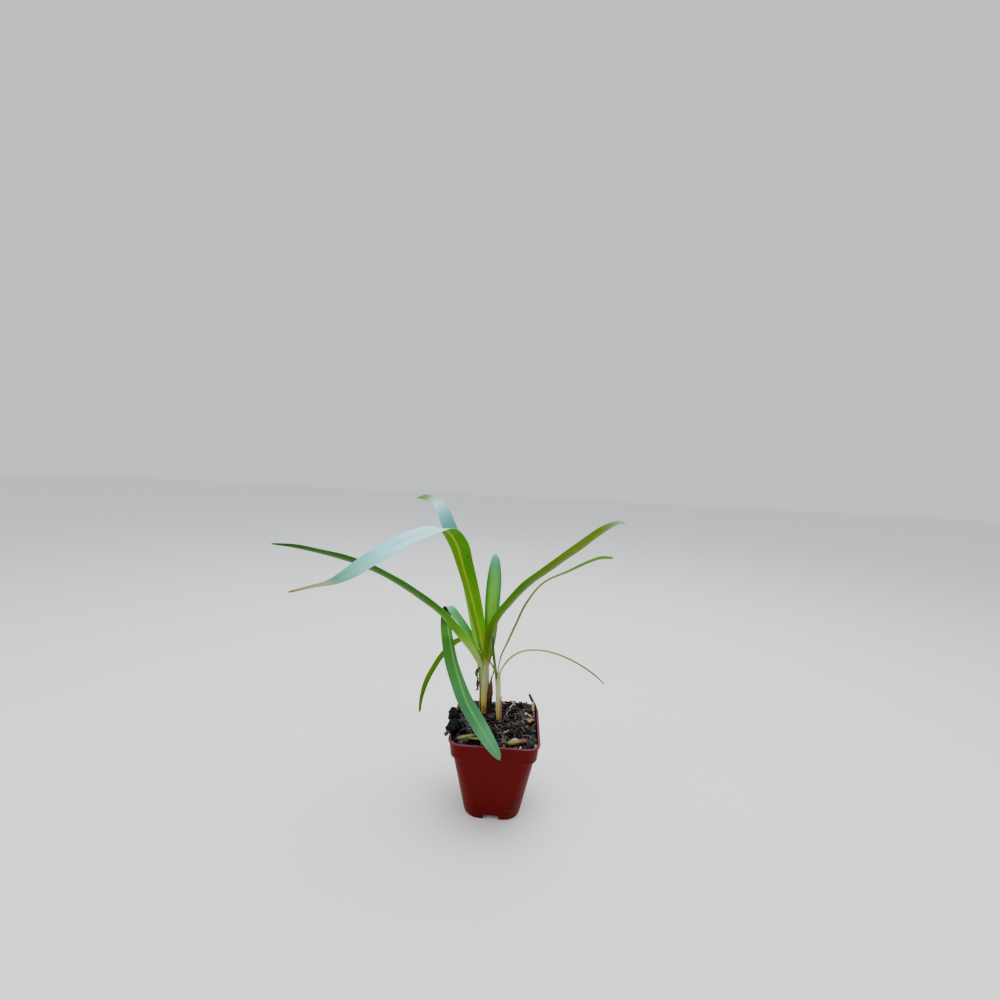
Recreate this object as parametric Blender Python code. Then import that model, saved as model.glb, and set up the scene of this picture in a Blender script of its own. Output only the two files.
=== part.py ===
"""Young agapanthus in a small square nursery pot.

The plant stands in a 70 mm square pot filled with bark compost. Its strap
leaves wrap one another at the base, in rings of half sheaths, and form a
short false stem; a side shoot with three grassy leaves stands beside it.
All driving sizes are in millimetres and become metres in make_object.
The origin is the centre of the pot's underside, +Z is up, -Y is the front.
"""
import math

import bpy
import numpy as np

MILLIMETRE = 0.001
GAP = 0.3

# Pot
RIM_HALF = 35.0
POT_HEIGHT = 65.0
FOOT_HALF = 22.2
WALL = 1.1
RIM_RADIUS = 9.5
FOOT_RADIUS = 13.6
LIP_HEIGHT = 1.6
COLLAR_HALF_TOP = 34.1
COLLAR_HALF_LOW = 33.0
COLLAR_LOW_Z = 52.5
BODY_TOP_HALF = 31.2
FLOOR_Z = 3.8
FLOOR_THICK = 1.3
BOSS_RADIUS = 4.5
NOTCH_WIDTH = 12.0
NOTCH_HEIGHT = 3.6
DRAIN_RADIUS = 2.5
DRAIN_OFFSET = 13.0

# Soil
SOIL_Z = 61.5
SOIL_MOUND = 2.2
SOIL_CELLS = 40
SOIL_RELIEF = 5.0
CHIP_COUNT = 150
LITTER_SIDES = 8
SEAT_MARGIN = 0.7
CHIP_STEEPNESS = 9.0
FLOOR_CORNER = 1.06

# Main stem and side shoot: base point at the top of the rootstock, and lean per mm of height
CROWN_Z = 55.0
STEM_BASE = np.array([-10.4, 19.0, CROWN_Z])
STEM_LEAN = np.array([-0.037, -0.023, 1.0])
SHOOT_BASE = np.array([1.9, 11.0, CROWN_Z])
SHOOT_LEAN = np.array([-0.054, -0.045, 1.0])

# Leaves
LEAF_THICK = 0.62
SHEATH_PITCH = 0.87
STEM_CORE = 1.0
SHOOT_CORE = 0.75
HOLE_CLEARANCE = 0.35
CROWN_RADIUS = 4.35
CROWN_BOTTOM = 36.0
SIDE_RADIUS = 2.95
SIDE_BOTTOM = 40.0
LINK_Z = 43.0
LINK_RADIUS = 2.2
HOLE_TOP = 73.0


def clear_scene():
    """Remove every object, so that only this model is left."""
    for item in list(bpy.data.objects):
        bpy.data.objects.remove(item, do_unlink=True)


def finish(name, red, green, blue, roughness):
    """A plain Principled material of one colour."""
    material = bpy.data.materials.new(name)
    material.use_nodes = True
    shader = material.node_tree.nodes["Principled BSDF"]
    shader.inputs["Base Color"].default_value = (red, green, blue, 1.0)
    shader.inputs["Roughness"].default_value = roughness
    material.diffuse_color = (red, green, blue, 1.0)
    return material


def make_object(name, points, faces, material, smooth_angle=40.0):
    """One closed mesh object from points in millimetres."""
    mesh = bpy.data.meshes.new(name)
    mesh.from_pydata((np.asarray(points) * MILLIMETRE).tolist(), [], faces)
    mesh.update()
    mesh.shade_smooth()
    mesh.set_sharp_from_angle(angle=math.radians(smooth_angle))
    mesh.materials.append(material)
    item = bpy.data.objects.new(name, mesh)
    bpy.context.scene.collection.objects.link(item)
    return item


def rounded_square(half, radius, corner_steps=6):
    """Outline of a square with round corners, counter-clockwise from the +X side."""
    radius = min(radius, half)
    points = []
    for quarter in range(4):
        turn = quarter * math.pi / 2
        points.append((half * math.cos(turn), half * math.sin(turn)))
        middle = (half - radius) * math.sqrt(2)
        corner = turn + math.pi / 4
        for step in range(corner_steps + 1):
            angle = turn + step / corner_steps * math.pi / 2
            points.append((middle * math.cos(corner) + radius * math.cos(angle),
                           middle * math.sin(corner) + radius * math.sin(angle)))
    return np.array(points)


def loft(name, loops, material):
    """Join loops of equal length by quads, and close both ends with a flat face."""
    count = len(loops[0])
    points = np.concatenate(loops)
    faces = [list(range(count))[::-1]]
    for row in range(len(loops) - 1):
        for k in range(count):
            nxt = (k + 1) % count
            faces.append([row * count + k, row * count + nxt,
                          (row + 1) * count + nxt, (row + 1) * count + k])
    last = (len(loops) - 1) * count
    faces.append([last + k for k in range(count)])
    return make_object(name, points, faces, material)


def square_loop(half, radius, height):
    """A rounded square loop at one height."""
    outline = rounded_square(half, radius)
    return np.column_stack([outline, np.full(len(outline), height)])


def tube_loops(path, radii, sides):
    """Rings round a path of points, one radius each, square to the path."""
    path = np.asarray(path, float)
    along = np.gradient(path, axis=0)
    along /= np.linalg.norm(along, axis=1)[:, None]
    first = np.cross(along, [0.21, 0.97, 0.1])
    first /= np.linalg.norm(first, axis=1)[:, None]
    second = np.cross(along, first)
    loops = []
    for point, one, two, radius in zip(path, first, second, radii):
        angle = np.arange(sides) * 2 * math.pi / sides
        loops.append(point + radius * (np.cos(angle)[:, None] * one + np.sin(angle)[:, None] * two))
    return loops


def combine(target, other, operation):
    """Apply a Boolean and remove the other object."""
    modifier = target.modifiers.new("cut", "BOOLEAN")
    modifier.operation = operation
    modifier.solver = "EXACT"
    modifier.object = other
    bpy.context.view_layer.update()
    graph = bpy.context.evaluated_depsgraph_get()
    result = bpy.data.meshes.new_from_object(target.evaluated_get(graph))
    target.modifiers.clear()
    target.data = result
    bpy.data.objects.remove(other, do_unlink=True)
    return target


def box(name, low, high):
    """A plain box between two corners."""
    x0, y0, z0 = low
    x1, y1, z1 = high
    points = [(x0, y0, z0), (x1, y0, z0), (x1, y1, z0), (x0, y1, z0),
              (x0, y0, z1), (x1, y0, z1), (x1, y1, z1), (x0, y1, z1)]
    faces = [[3, 2, 1, 0], [4, 5, 6, 7], [0, 1, 5, 4], [1, 2, 6, 5], [2, 3, 7, 6], [3, 0, 4, 7]]
    return make_object(name, points, faces, PLAIN)


def cylinder(name, centre, radius, low, high, sides=16):
    """An upright cylinder."""
    path = [(centre[0], centre[1], low), (centre[0], centre[1], high)]
    return loft(name, tube_loops(path, [radius, radius], sides), PLAIN)


def spline(stations, count):
    """Rows read evenly along a Catmull-Rom curve through the stations' rows."""
    rows = np.asarray(stations, float)
    steps = np.linalg.norm(np.diff(rows[:, :3], axis=0), axis=1)
    knots = np.concatenate([[0], np.cumsum(np.sqrt(steps))])
    slopes = np.gradient(rows, knots, axis=0)
    fine = np.linspace(0, knots[-1], 40 * len(rows))
    cell = np.clip(np.searchsorted(knots, fine, side="right") - 1, 0, len(rows) - 2)
    width = knots[cell + 1] - knots[cell]
    part = ((fine - knots[cell]) / width)[:, None]
    width = width[:, None]
    curve = ((2 * part**3 - 3 * part**2 + 1) * rows[cell]
             + (part**3 - 2 * part**2 + part) * width * slopes[cell]
             + (3 * part**2 - 2 * part**3) * rows[cell + 1]
             + (part**3 - part**2) * width * slopes[cell + 1])
    length = np.concatenate([[0], np.cumsum(np.linalg.norm(np.diff(curve[:, :3], axis=0), axis=1))])
    even = np.linspace(0, length[-1], count)
    return np.column_stack([np.interp(even, length, column) for column in curve.T])


def blade(name, stations, heading, material, rows=30, columns=6, thick=LEAF_THICK):
    """A channelled strap leaf.

    Each station is (x, y, z, half width, cup, twist): a point of the keel in
    mm, half the width measured along the curved section, and two angles in
    degrees. The section is an arc of that width that turns through twice the
    cup angle, hollow on the inner face. The level line across the leaf is
    square to the heading; the twist turns it about the keel.
    """
    data = spline(stations, rows)
    keel = data[:, :3]
    half = data[:, 3]
    cup = np.radians(np.maximum(data[:, 4], 2.0))
    twist = np.radians(data[:, 5])
    along = np.gradient(keel, axis=0)
    along /= np.linalg.norm(along, axis=1)[:, None]
    azimuth = math.radians(heading)
    level = np.array([-math.sin(azimuth), math.cos(azimuth), 0.0])
    level = level - (along @ level)[:, None] * along
    level /= np.linalg.norm(level, axis=1)[:, None]
    inner = np.cross(along, level)
    turn, lift = np.cos(twist)[:, None], np.sin(twist)[:, None]
    across, inner = level * turn + inner * lift, inner * turn - level * lift
    radius = half / cup
    share = np.linspace(-1, 1, columns)
    angle = cup[:, None] * share
    outward = across[:, None] * np.sin(angle)[..., None] - inner[:, None] * np.cos(angle)[..., None]
    centre = keel + inner * radius[:, None]
    grid = centre[:, None] + outward * radius[:, None, None]
    outer_face = grid + outward * thick / 2
    inner_face = grid - outward * thick / 2
    return two_faces(name, outer_face, inner_face, material)


def two_faces(name, outer, inner, material):
    """A closed sheet from its two faces, split alike into triangles."""
    rows, columns = outer.shape[:2]
    points = np.concatenate([outer.reshape(-1, 3), inner.reshape(-1, 3)])
    shift = rows * columns
    faces = []
    for i in range(rows - 1):
        for j in range(columns - 1):
            a, b = i * columns + j, i * columns + j + 1
            c, d = a + columns, b + columns
            faces += [[a, b, d], [a, d, c]]
            faces += [[a + shift, d + shift, b + shift], [a + shift, c + shift, d + shift]]
    for i in range(rows - 1):
        a, c = i * columns, (i + 1) * columns
        b, d = a + columns - 1, c + columns - 1
        faces += [[a, c, c + shift], [a, c + shift, a + shift]]
        faces += [[b, d + shift, d], [b, b + shift, d + shift]]
    last = (rows - 1) * columns
    for j in range(columns - 1):
        faces += [[j, j + shift, j + 1 + shift], [j, j + 1 + shift, j + 1]]
        a, b = last + j, last + j + 1
        faces += [[a, b, b + shift], [a, b + shift, a + shift]]
    return make_object(name, points, faces, material)


def sheath(base, lean, ring, azimuth, span, heading, mouth):
    """Stations of a half sheath wrapped round a stem axis, close together at its mouth."""
    outward = np.array([math.cos(math.radians(azimuth)), math.sin(math.radians(azimuth)), 0.0])
    half = ring * math.radians(span)
    rows = []
    for height in (base[2], (base[2] + mouth) / 2, mouth - 8, mouth - 2.5, mouth):
        point = base + lean * (height - base[2]) + outward * ring
        rows.append((*point, half, span, azimuth - heading))
    return rows


def leaf_on(base, lean, core, name, ring, azimuth, span, heading, mouth, free, material, **size):
    """A leaf made of a half sheath, in a ring counted from the core outwards, and its free blade."""
    radius = core + ring * SHEATH_PITCH
    rows = sheath(base, lean, radius, azimuth, span, heading, mouth)
    return blade(name, rows + free, heading, material, **size)


clear_scene()
PLAIN = finish("plain", 0.5, 0.5, 0.5, 0.6)
POT_PLASTIC = finish("terracotta_red_polypropylene", 0.13, 0.012, 0.013, 0.42)
SOIL = finish("bark_compost", 0.022, 0.018, 0.016, 0.95)
LEAF = finish("leaf_green", 0.08, 0.22, 0.03, 0.45)
LEAF_DARK = finish("leaf_dark_green", 0.05, 0.17, 0.07, 0.5)
LEAF_THIN = finish("young_leaf_green", 0.13, 0.22, 0.05, 0.5)
DRY = finish("dry_sheath_brown", 0.16, 0.05, 0.015, 0.8)
DEBRIS = finish("old_leaf_grey_green", 0.05, 0.055, 0.04, 0.9)
STUB = finish("cut_stem_ochre", 0.32, 0.26, 0.06, 0.7)
BARK = finish("bark_brown", 0.05, 0.028, 0.018, 0.9)
FIBRE = finish("dry_fibre_tan", 0.35, 0.26, 0.15, 0.85)
ROOTSTOCK = finish("rootstock_cream", 0.45, 0.36, 0.2, 0.8)


def build_pot():
    """Outside from the foot up, over the lip, down the inside, and under the floor."""
    inner_foot = FOOT_HALF + (FLOOR_Z + FLOOR_THICK) * (BODY_TOP_HALF - FOOT_HALF) / COLLAR_LOW_Z - WALL
    lip_z = POT_HEIGHT - LIP_HEIGHT
    loops = [
        square_loop(BOSS_RADIUS, BOSS_RADIUS, 0.0),
        square_loop(BOSS_RADIUS + 0.3, BOSS_RADIUS + 0.3, FLOOR_Z),
        square_loop(FOOT_HALF - WALL + 0.4, FOOT_RADIUS - WALL, FLOOR_Z),
        square_loop(FOOT_HALF - WALL, FOOT_RADIUS - WALL, 0.0),
        square_loop(FOOT_HALF - 0.3, FOOT_RADIUS, 0.0),
        square_loop(FOOT_HALF, FOOT_RADIUS, 0.5),
        square_loop(BODY_TOP_HALF - 0.3, RIM_RADIUS - 1.2, COLLAR_LOW_Z - 1.6),
        square_loop(COLLAR_HALF_LOW - 0.8, RIM_RADIUS - 0.6, COLLAR_LOW_Z - 0.5),
        square_loop(COLLAR_HALF_LOW, RIM_RADIUS, COLLAR_LOW_Z + 0.9),
        square_loop(COLLAR_HALF_TOP, RIM_RADIUS, lip_z - 0.4),
        square_loop(RIM_HALF - 0.2, RIM_RADIUS + 0.6, lip_z),
        square_loop(RIM_HALF, RIM_RADIUS + 0.6, lip_z + 0.6),
        square_loop(RIM_HALF - 0.4, RIM_RADIUS + 0.4, POT_HEIGHT),
        square_loop(COLLAR_HALF_TOP - WALL + 0.3, RIM_RADIUS - 0.4, POT_HEIGHT),
        square_loop(COLLAR_HALF_TOP - WALL, RIM_RADIUS - 0.6, POT_HEIGHT - 0.5),
        square_loop(COLLAR_HALF_LOW - WALL, RIM_RADIUS - 1, COLLAR_LOW_Z + 0.9),
        square_loop(BODY_TOP_HALF - WALL, RIM_RADIUS - 2, COLLAR_LOW_Z - 0.9),
        square_loop(inner_foot + 0.5, FOOT_RADIUS - WALL, FLOOR_Z + FLOOR_THICK + 1.5),
        square_loop(inner_foot - 0.8, FOOT_RADIUS - WALL, FLOOR_Z + FLOOR_THICK),
        square_loop(BOSS_RADIUS, BOSS_RADIUS, FLOOR_Z + FLOOR_THICK),
    ]
    pot = loft("pot", loops, POT_PLASTIC)
    for direction in range(4):
        angle = direction * math.pi / 2
        way = np.array([math.cos(angle), math.sin(angle)])
        side = np.array([-way[1], way[0]])
        near, far = way * (FOOT_HALF - 4.0), way * (FOOT_HALF + 2.0)
        corners = np.array([near + side * NOTCH_WIDTH / 2, near - side * NOTCH_WIDTH / 2,
                            far + side * NOTCH_WIDTH / 2, far - side * NOTCH_WIDTH / 2])
        low, high = corners.min(axis=0), corners.max(axis=0)
        notch = box("notch", (*low, -1.0), (*high, NOTCH_HEIGHT))
        combine(pot, notch, "DIFFERENCE")
        drain = cylinder("drain", way * DRAIN_OFFSET, DRAIN_RADIUS, FLOOR_Z - 1, FLOOR_Z + FLOOR_THICK + 1)
        combine(pot, drain, "DIFFERENCE")
    return pot


def soil_height(x, y):
    """Compost surface: a low mound under tilted chips, each a flat plate with steep sides."""
    from_stem = np.hypot(x - STEM_BASE[0], y - STEM_BASE[1])
    height = SOIL_Z + SOIL_MOUND * np.exp(-(from_stem / 22.0) ** 2) + 0.8 * np.sin(x / 6.1) * np.cos(y / 4.7)
    draw = np.random.default_rng(11)
    rim_fade = 1.0 - 0.55 * np.clip((np.maximum(np.abs(x), np.abs(y)) - 24) / 8, 0, 1)
    for _ in range(CHIP_COUNT):
        cx, cy = draw.uniform(-31, 31, 2)
        turn = draw.uniform(0, math.pi)
        long_half, wide_half = draw.uniform(1.6, 4.6), draw.uniform(0.9, 2.1)
        slope_a, slope_b = draw.uniform(-0.4, 0.4), draw.uniform(-0.5, 0.5)
        rise = draw.uniform(0.6, 3.2)
        a = (x - cx) * math.cos(turn) + (y - cy) * math.sin(turn)
        b = (y - cy) * math.cos(turn) - (x - cx) * math.sin(turn)
        edge = np.maximum(np.abs(a) / long_half, np.abs(b) / wide_half)
        fall = CHIP_STEEPNESS * np.maximum(edge - 0.85, 0)
        height = np.maximum(height, SOIL_Z + rise * rim_fade + slope_a * a + slope_b * b - fall)
    return np.clip(height, SOIL_Z - 1.0, SOIL_Z + SOIL_RELIEF)


def rounded_grid(cells, half, radius):
    """Square grid squeezed into a rounded square: rows of x and y."""
    line = np.linspace(-1, 1, cells + 1)
    u, v = np.meshgrid(line, line, indexing="ij")
    reach = np.maximum(np.abs(u), np.abs(v))
    low = np.minimum(np.abs(u), np.abs(v)) / np.maximum(reach, 1e-9)
    inset = 1 - radius / half
    over = np.maximum(low - inset, 0.0)
    # Distance at which the ray of slope low meets the corner's arc
    a = 1 + low**2
    b = -2 * inset * (1 + low)
    c = 2 * inset**2 - (radius / half) ** 2
    root = (-b + np.sqrt(np.maximum(b * b - 4 * a * c, 0))) / (2 * a)
    shrink = np.where(over > 0, root, 1.0)
    scale = half * (1 - (1 - shrink) * reach**2)
    return u * scale, v * scale


def build_soil():
    """Compost block: relief on top, the pot's inside below, and holes for rootstock and stems."""
    cells = SOIL_CELLS
    x, y = rounded_grid(cells, COLLAR_HALF_LOW - WALL - GAP, RIM_RADIUS - 1)
    z = soil_height(x, y)
    top = np.stack([x, y, z], axis=-1)
    count = cells + 1
    points = [top.reshape(-1, 3)]
    faces = []
    for i in range(cells):
        for j in range(cells):
            a = i * count + j
            faces += [[a, a + count, a + count + 1], [a, a + count + 1, a + 1]]
    ring = ([(i, 0) for i in range(cells)] + [(cells, j) for j in range(cells)]
            + [(i, cells) for i in range(cells, 0, -1)] + [(0, j) for j in range(cells, 0, -1)])
    edge = [i * count + j for i, j in ring]
    edge_xy = np.array([top[i, j, :2] for i, j in ring])
    scale_low = (BODY_TOP_HALF - WALL - 0.5) / (COLLAR_HALF_LOW - WALL - GAP)
    floor_half = FOOT_HALF - WALL - GAP - 0.2
    scale_floor = floor_half / (COLLAR_HALF_LOW - WALL - GAP)
    total = len(points[0])
    previous = edge
    for scale, height in ((1.0, COLLAR_LOW_Z + 1.4), (scale_low, COLLAR_LOW_Z - 1.4),
                          (scale_floor, FLOOR_Z + FLOOR_THICK + GAP + 1.5)):
        ring_xy = edge_xy * scale
        if scale == scale_floor:
            reach = np.linalg.norm(ring_xy, axis=1, keepdims=True)
            ring_xy = ring_xy * np.minimum(1.0, floor_half * FLOOR_CORNER / reach)
        points.append(np.column_stack([ring_xy, np.full(len(edge), height)]))
        current = [total + k for k in range(len(edge))]
        total += len(edge)
        for k in range(len(edge)):
            nxt = (k + 1) % len(edge)
            faces += [[previous[k], current[k], current[nxt]], [previous[k], current[nxt], previous[nxt]]]
        previous = current
    faces.append(previous[::-1])
    soil = make_object("soil", np.concatenate(points), faces, SOIL, smooth_angle=12.0)
    combine(soil, rootstock_shape("hole", HOLE_CLEARANCE, HOLE_TOP), "DIFFERENCE")
    return soil


def rootstock_shape(name, grow, top):
    """The short rhizome: an upright crown under each stem and a link between them."""
    crown = cylinder(name, STEM_BASE, CROWN_RADIUS + grow, CROWN_BOTTOM - grow, top)
    side = cylinder("side_crown", SHOOT_BASE, SIDE_RADIUS + grow, SIDE_BOTTOM - grow, top)
    path = [(*STEM_BASE[:2], LINK_Z), (*SHOOT_BASE[:2], LINK_Z)]
    link = loft("link", tube_loops(path, [LINK_RADIUS + grow, LINK_RADIUS + grow], 12), PLAIN)
    combine(crown, link, "UNION")
    combine(crown, side, "UNION")
    return crown


def build_rootstock():
    """Rootstock below the leaf bases."""
    item = rootstock_shape("rootstock", 0.0, CROWN_Z - GAP)
    item.data.materials.clear()
    item.data.materials.append(ROOTSTOCK)
    return item


def build_main_leaves():
    """Seven strap leaves of the main stem, from the outermost sheath to the core."""
    stem = dict(base=STEM_BASE, lean=STEM_LEAN, core=STEM_CORE)
    leaf_on(**stem, name="leaf_low_left", ring=3, azimuth=150, span=52, heading=150, mouth=84,
            material=LEAF_DARK, rows=26, columns=5, free=[
                (-17.6, 24.0, 97, 2.9, 36, 14), (-23.0, 26.0, 110, 2.8, 28, 34),
                (-30.5, 28, 119.5, 2.9, 24, 46), (-40, 29.4, 119.5, 2.9, 20, 50),
                (-49.6, 31, 106.5, 2.8, 20, 50), (-57.3, 33, 92.8, 2.6, 20, 50),
                (-63.5, 35, 79, 2.3, 20, 50), (-68.4, 37, 63.5, 1.7, 15, 40),
                (-69.8, 39, 49.5, 0.6, 10, 30)])
    leaf_on(**stem, name="leaf_long_left", ring=2, azimuth=205, span=48, heading=196, mouth=98,
            material=LEAF, rows=34, free=[
                (-17.0, 15.0, 107, 4.2, 42, 8), (-23.2, 13.0, 119.2, 5.2, 34, 20),
                (-31.1, 11, 130.4, 5.8, 26, 32), (-46.9, 6, 149.4, 6.1, 20, 35),
                (-66, 0, 165.5, 6.2, 16, 35), (-83.9, -7, 178.6, 6.1, 14, 35),
                (-102.1, -14, 189, 5.8, 12, 35), (-119.4, -21, 196.5, 5.3, 12, 35),
                (-135.5, -28, 201.8, 4.6, 12, 35), (-152.7, -34, 206, 3.4, 12, 35),
                (-167, -39, 208, 0.8, 10, 35)])
    leaf_on(**stem, name="leaf_folded_front", ring=2, azimuth=118, span=33, heading=165, mouth=93,
            material=LEAF_DARK, rows=44, free=[
                (-16.4, 22.4, 104.5, 2.8, 38, -38), (-21.0, 23.0, 114.3, 3.3, 34, -32),
                (-28.6, 23.8, 129.8, 4.2, 26, -32),
                (-35.3, 25, 139.4, 4.5, 18, -28), (-41.5, 25.6, 146.6, 4.6, 10, -20),
                (-46.4, 23.8, 149.0, 4.2, 5, -9), (-50.1, 21.1, 145.6, 4.2, 4, 6),
                (-48.2, 17.1, 136.8, 4.7, 8, 30), (-44.0, 11.2, 124.7, 5.1, 12, 50),
                (-38.5, 2, 111.9, 5.3, 14, 64), (-31.7, -8, 100.5, 5.6, 14, 66),
                (-24.1, -18, 90.4, 5.9, 14, 67), (-16.2, -27, 83.6, 6.0, 12, 69),
                (-8.2, -35, 76.5, 5.6, 10, 72), (-2.1, -40, 70.8, 4.6, 8, 76),
                (2.4, -42.3, 65.8, 3.2, 6, 78), (5.4, -43.4, 61.3, 0.8, 5, 79)])
    leaf_on(**stem, name="leaf_right", ring=2, azimuth=-53, span=48, heading=-8, mouth=104,
            material=LEAF, rows=32, free=[
                (-10.1, 13.6, 116.2, 4.0, 50, -42), (-8.2, 11.0, 134, 4.9, 32, -40),
                (-2.6, 10.2, 149, 5.6, 24, -36), (5.4, 9, 161.7, 6.0, 18, -34),
                (19.1, 7, 178.6, 6.1, 14, -34), (37.1, 3, 194.5, 5.9, 12, -38),
                (58.1, -2, 212.2, 5.4, 12, -40), (71.4, -5, 224, 4.8, 12, -42),
                (80.6, -7.5, 230.7, 3.8, 12, -42), (86.6, -9.2, 233.2, 2.5, 10, -42),
                (91, -10, 232, 0.7, 8, -42)])
    leaf_on(**stem, name="leaf_arching_left", ring=1, azimuth=245, span=48, heading=250, mouth=113,
            material=LEAF, rows=40, free=[
                (-15.4, 14.2, 127, 4.4, 36, 0), (-19.0, 8.6, 145, 5.7, 24, 3),
                (-24.3, -3, 172.5, 6.5, 16, 6), (-29.6, -14, 196, 6.9, 12, 12),
                (-34.6, -24, 212.6, 6.9, 9, 14), (-42.6, -34.6, 222.6, 6.7, 6, 4),
                (-56.8, -46.5, 221, 6.5, 6, -14), (-72.4, -58, 214, 6.2, 8, -22),
                (-85.6, -70, 206.2, 5.6, 8, -22), (-95.8, -80, 199, 4.7, 8, -20),
                (-103.8, -88, 195.6, 3.3, 8, -14), (-111, -95.5, 194, 2.0, 6, -12),
                (-121.5, -105, 192, 0.6, 5, -12)])
    leaf_on(**stem, name="leaf_back", ring=0, azimuth=106, span=78, heading=100, mouth=114,
            material=LEAF, rows=34, free=[
                (-15.7, 21.4, 124, 2.2, 44, 6), (-18.8, 23.2, 138, 3.2, 30, -6),
                (-24.2, 25.4, 158, 4.6, 18, -12), (-35.0, 29.0, 189, 5.6, 12, -13),
                (-49.3, 34, 217.8, 6.0, 10, -13), (-54.1, 37, 227.4, 5.6, 10, -14),
                (-59.3, 41, 234.6, 4.8, 10, -16), (-67, 45, 239.8, 3.6, 10, -30),
                (-75.8, 48.5, 240.6, 2.0, 8, -50), (-81.7, 50.3, 239.5, 0.6, 6, -60)])
    leaf_on(**stem, name="leaf_centre", ring=1, azimuth=55, span=38, heading=90, mouth=97,
            material=LEAF, rows=26, free=[
                (-9.5, 20.4, 107, 2.7, 44, -30), (-8.4, 21.0, 120, 3.7, 32, -14),
                (-8.7, 21.4, 137, 5.5, 24, 4), (-8.6, 23, 157, 6.4, 16, 6),
                (-8.2, 25.4, 173.5, 6.3, 14, 8), (-8.1, 28, 183.2, 5.4, 12, 8),
                (-8.2, 31.4, 191, 3.6, 10, 8), (-8.4, 34.5, 195.6, 1.0, 8, 8)])


def build_side_shoot():
    """Three grassy leaves of the side shoot: two half sheaths round a rolled core."""
    stem = dict(base=SHOOT_BASE, lean=SHOOT_LEAN, core=SHOOT_CORE)
    leaf_on(**stem, name="shoot_leaf_inner", ring=0, azimuth=20, span=75, heading=0, mouth=91,
            material=LEAF_THIN, rows=26, columns=4, free=[
                (0.3, 8.6, 101, 1.0, 50, -10), (1.0, 7.8, 115, 1.1, 36, -30),
                (4.6, 6.6, 128.5, 1.2, 30, -40), (10.9, 5, 145.4, 1.2, 26, -40),
                (18.2, 3, 163, 1.3, 24, -40), (32.2, 0, 182, 1.3, 22, -40),
                (51.4, -3, 192.5, 1.2, 20, -40), (65.3, -6, 200.8, 1.1, 20, -40),
                (74.5, -8, 204.8, 0.9, 16, -40), (83.2, -10, 205.4, 0.5, 10, -40)])
    leaf_on(**stem, name="shoot_leaf_right", ring=1, azimuth=-18, span=78, heading=-20, mouth=90,
            material=LEAF_THIN, rows=24, columns=4, free=[
                (3.9, 6.4, 105, 1.4, 50, -10), (9.2, 2.4, 115.8, 1.3, 34, -30),
                (17.4, -2, 124, 1.3, 26, -40), (27.9, -6, 128.5, 1.3, 24, -44),
                (39.6, -10, 129.8, 1.2, 22, -46), (54, -15, 127.2, 1.1, 20, -48),
                (66.2, -20, 122.7, 1.0, 20, -50), (74.5, -23, 117.9, 0.8, 16, -50),
                (79.4, -26, 114.4, 0.5, 10, -50)])
    leaf_on(**stem, name="shoot_leaf_left", ring=1, azimuth=162, span=78, heading=120, mouth=90,
            material=LEAF_DARK, rows=16, columns=4, free=[
                (-3.0, 9.6, 103, 1.6, 46, 25), (-5.0, 9.2, 116, 1.4, 30, 16),
                (-6.0, 8.7, 125, 1.1, 24, 13), (-6.4, 8.4, 133, 0.5, 10, 12)])


def build_dry_bits():
    """Old brown sheath beside the stem, its torn curl, a scale of the shoot, and a withered leaf base."""
    leaf_on(STEM_BASE, STEM_LEAN, STEM_CORE, "dry_sheath", 3, -12, 46, -12, 80, [
        (-7.3, 17.4, 87, 3.0, 60, 10), (-6.9, 16.6, 95, 2.2, 60, 20), (-6.4, 15.2, 99.5, 0.6, 30, 60),
        (-6.2, 13.2, 103.5, 0.45, 10, 90), (-7.8, 11.2, 107.5, 0.45, 10, 120),
        (-9.6, 10.2, 111, 0.45, 10, 140)],
        DRY, rows=22, columns=4)
    leaf_on(SHOOT_BASE, SHOOT_LEAN, SHOOT_CORE, "shoot_scale", 2, -20, 46, -20, 76, [
        (3.7, 9.2, 80, 1.2, 40, 0), (3.9, 9.1, 83, 0.5, 20, 0)],
        DRY, rows=8, columns=4)
    blade("withered_base", [
        (-16.6, 14.6, 101, 0.6, 20, 0), (-16.9, 15.0, 97, 1.6, 30, 40),
        (-17.4, 14.6, 92.5, 1.5, 40, 100), (-16.6, 15.2, 88.5, 1.7, 30, 60),
        (-17.2, 15.0, 84, 0.7, 20, 120)], 180, DEBRIS, rows=12, columns=4, thick=0.8)


def seat_height(centre, way, length, width):
    """Highest compost grid point under a piece's footprint."""
    x, y = rounded_grid(SOIL_CELLS, COLLAR_HALF_LOW - WALL - GAP, RIM_RADIUS - 1)
    a = (x - centre[0]) * way[0] + (y - centre[1]) * way[1]
    b = (y - centre[1]) * way[0] - (x - centre[0]) * way[1]
    under = (np.abs(a) < length / 2 + SEAT_MARGIN) & (np.abs(b) < width / 2 + SEAT_MARGIN)
    return soil_height(x, y)[under].max()


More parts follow.
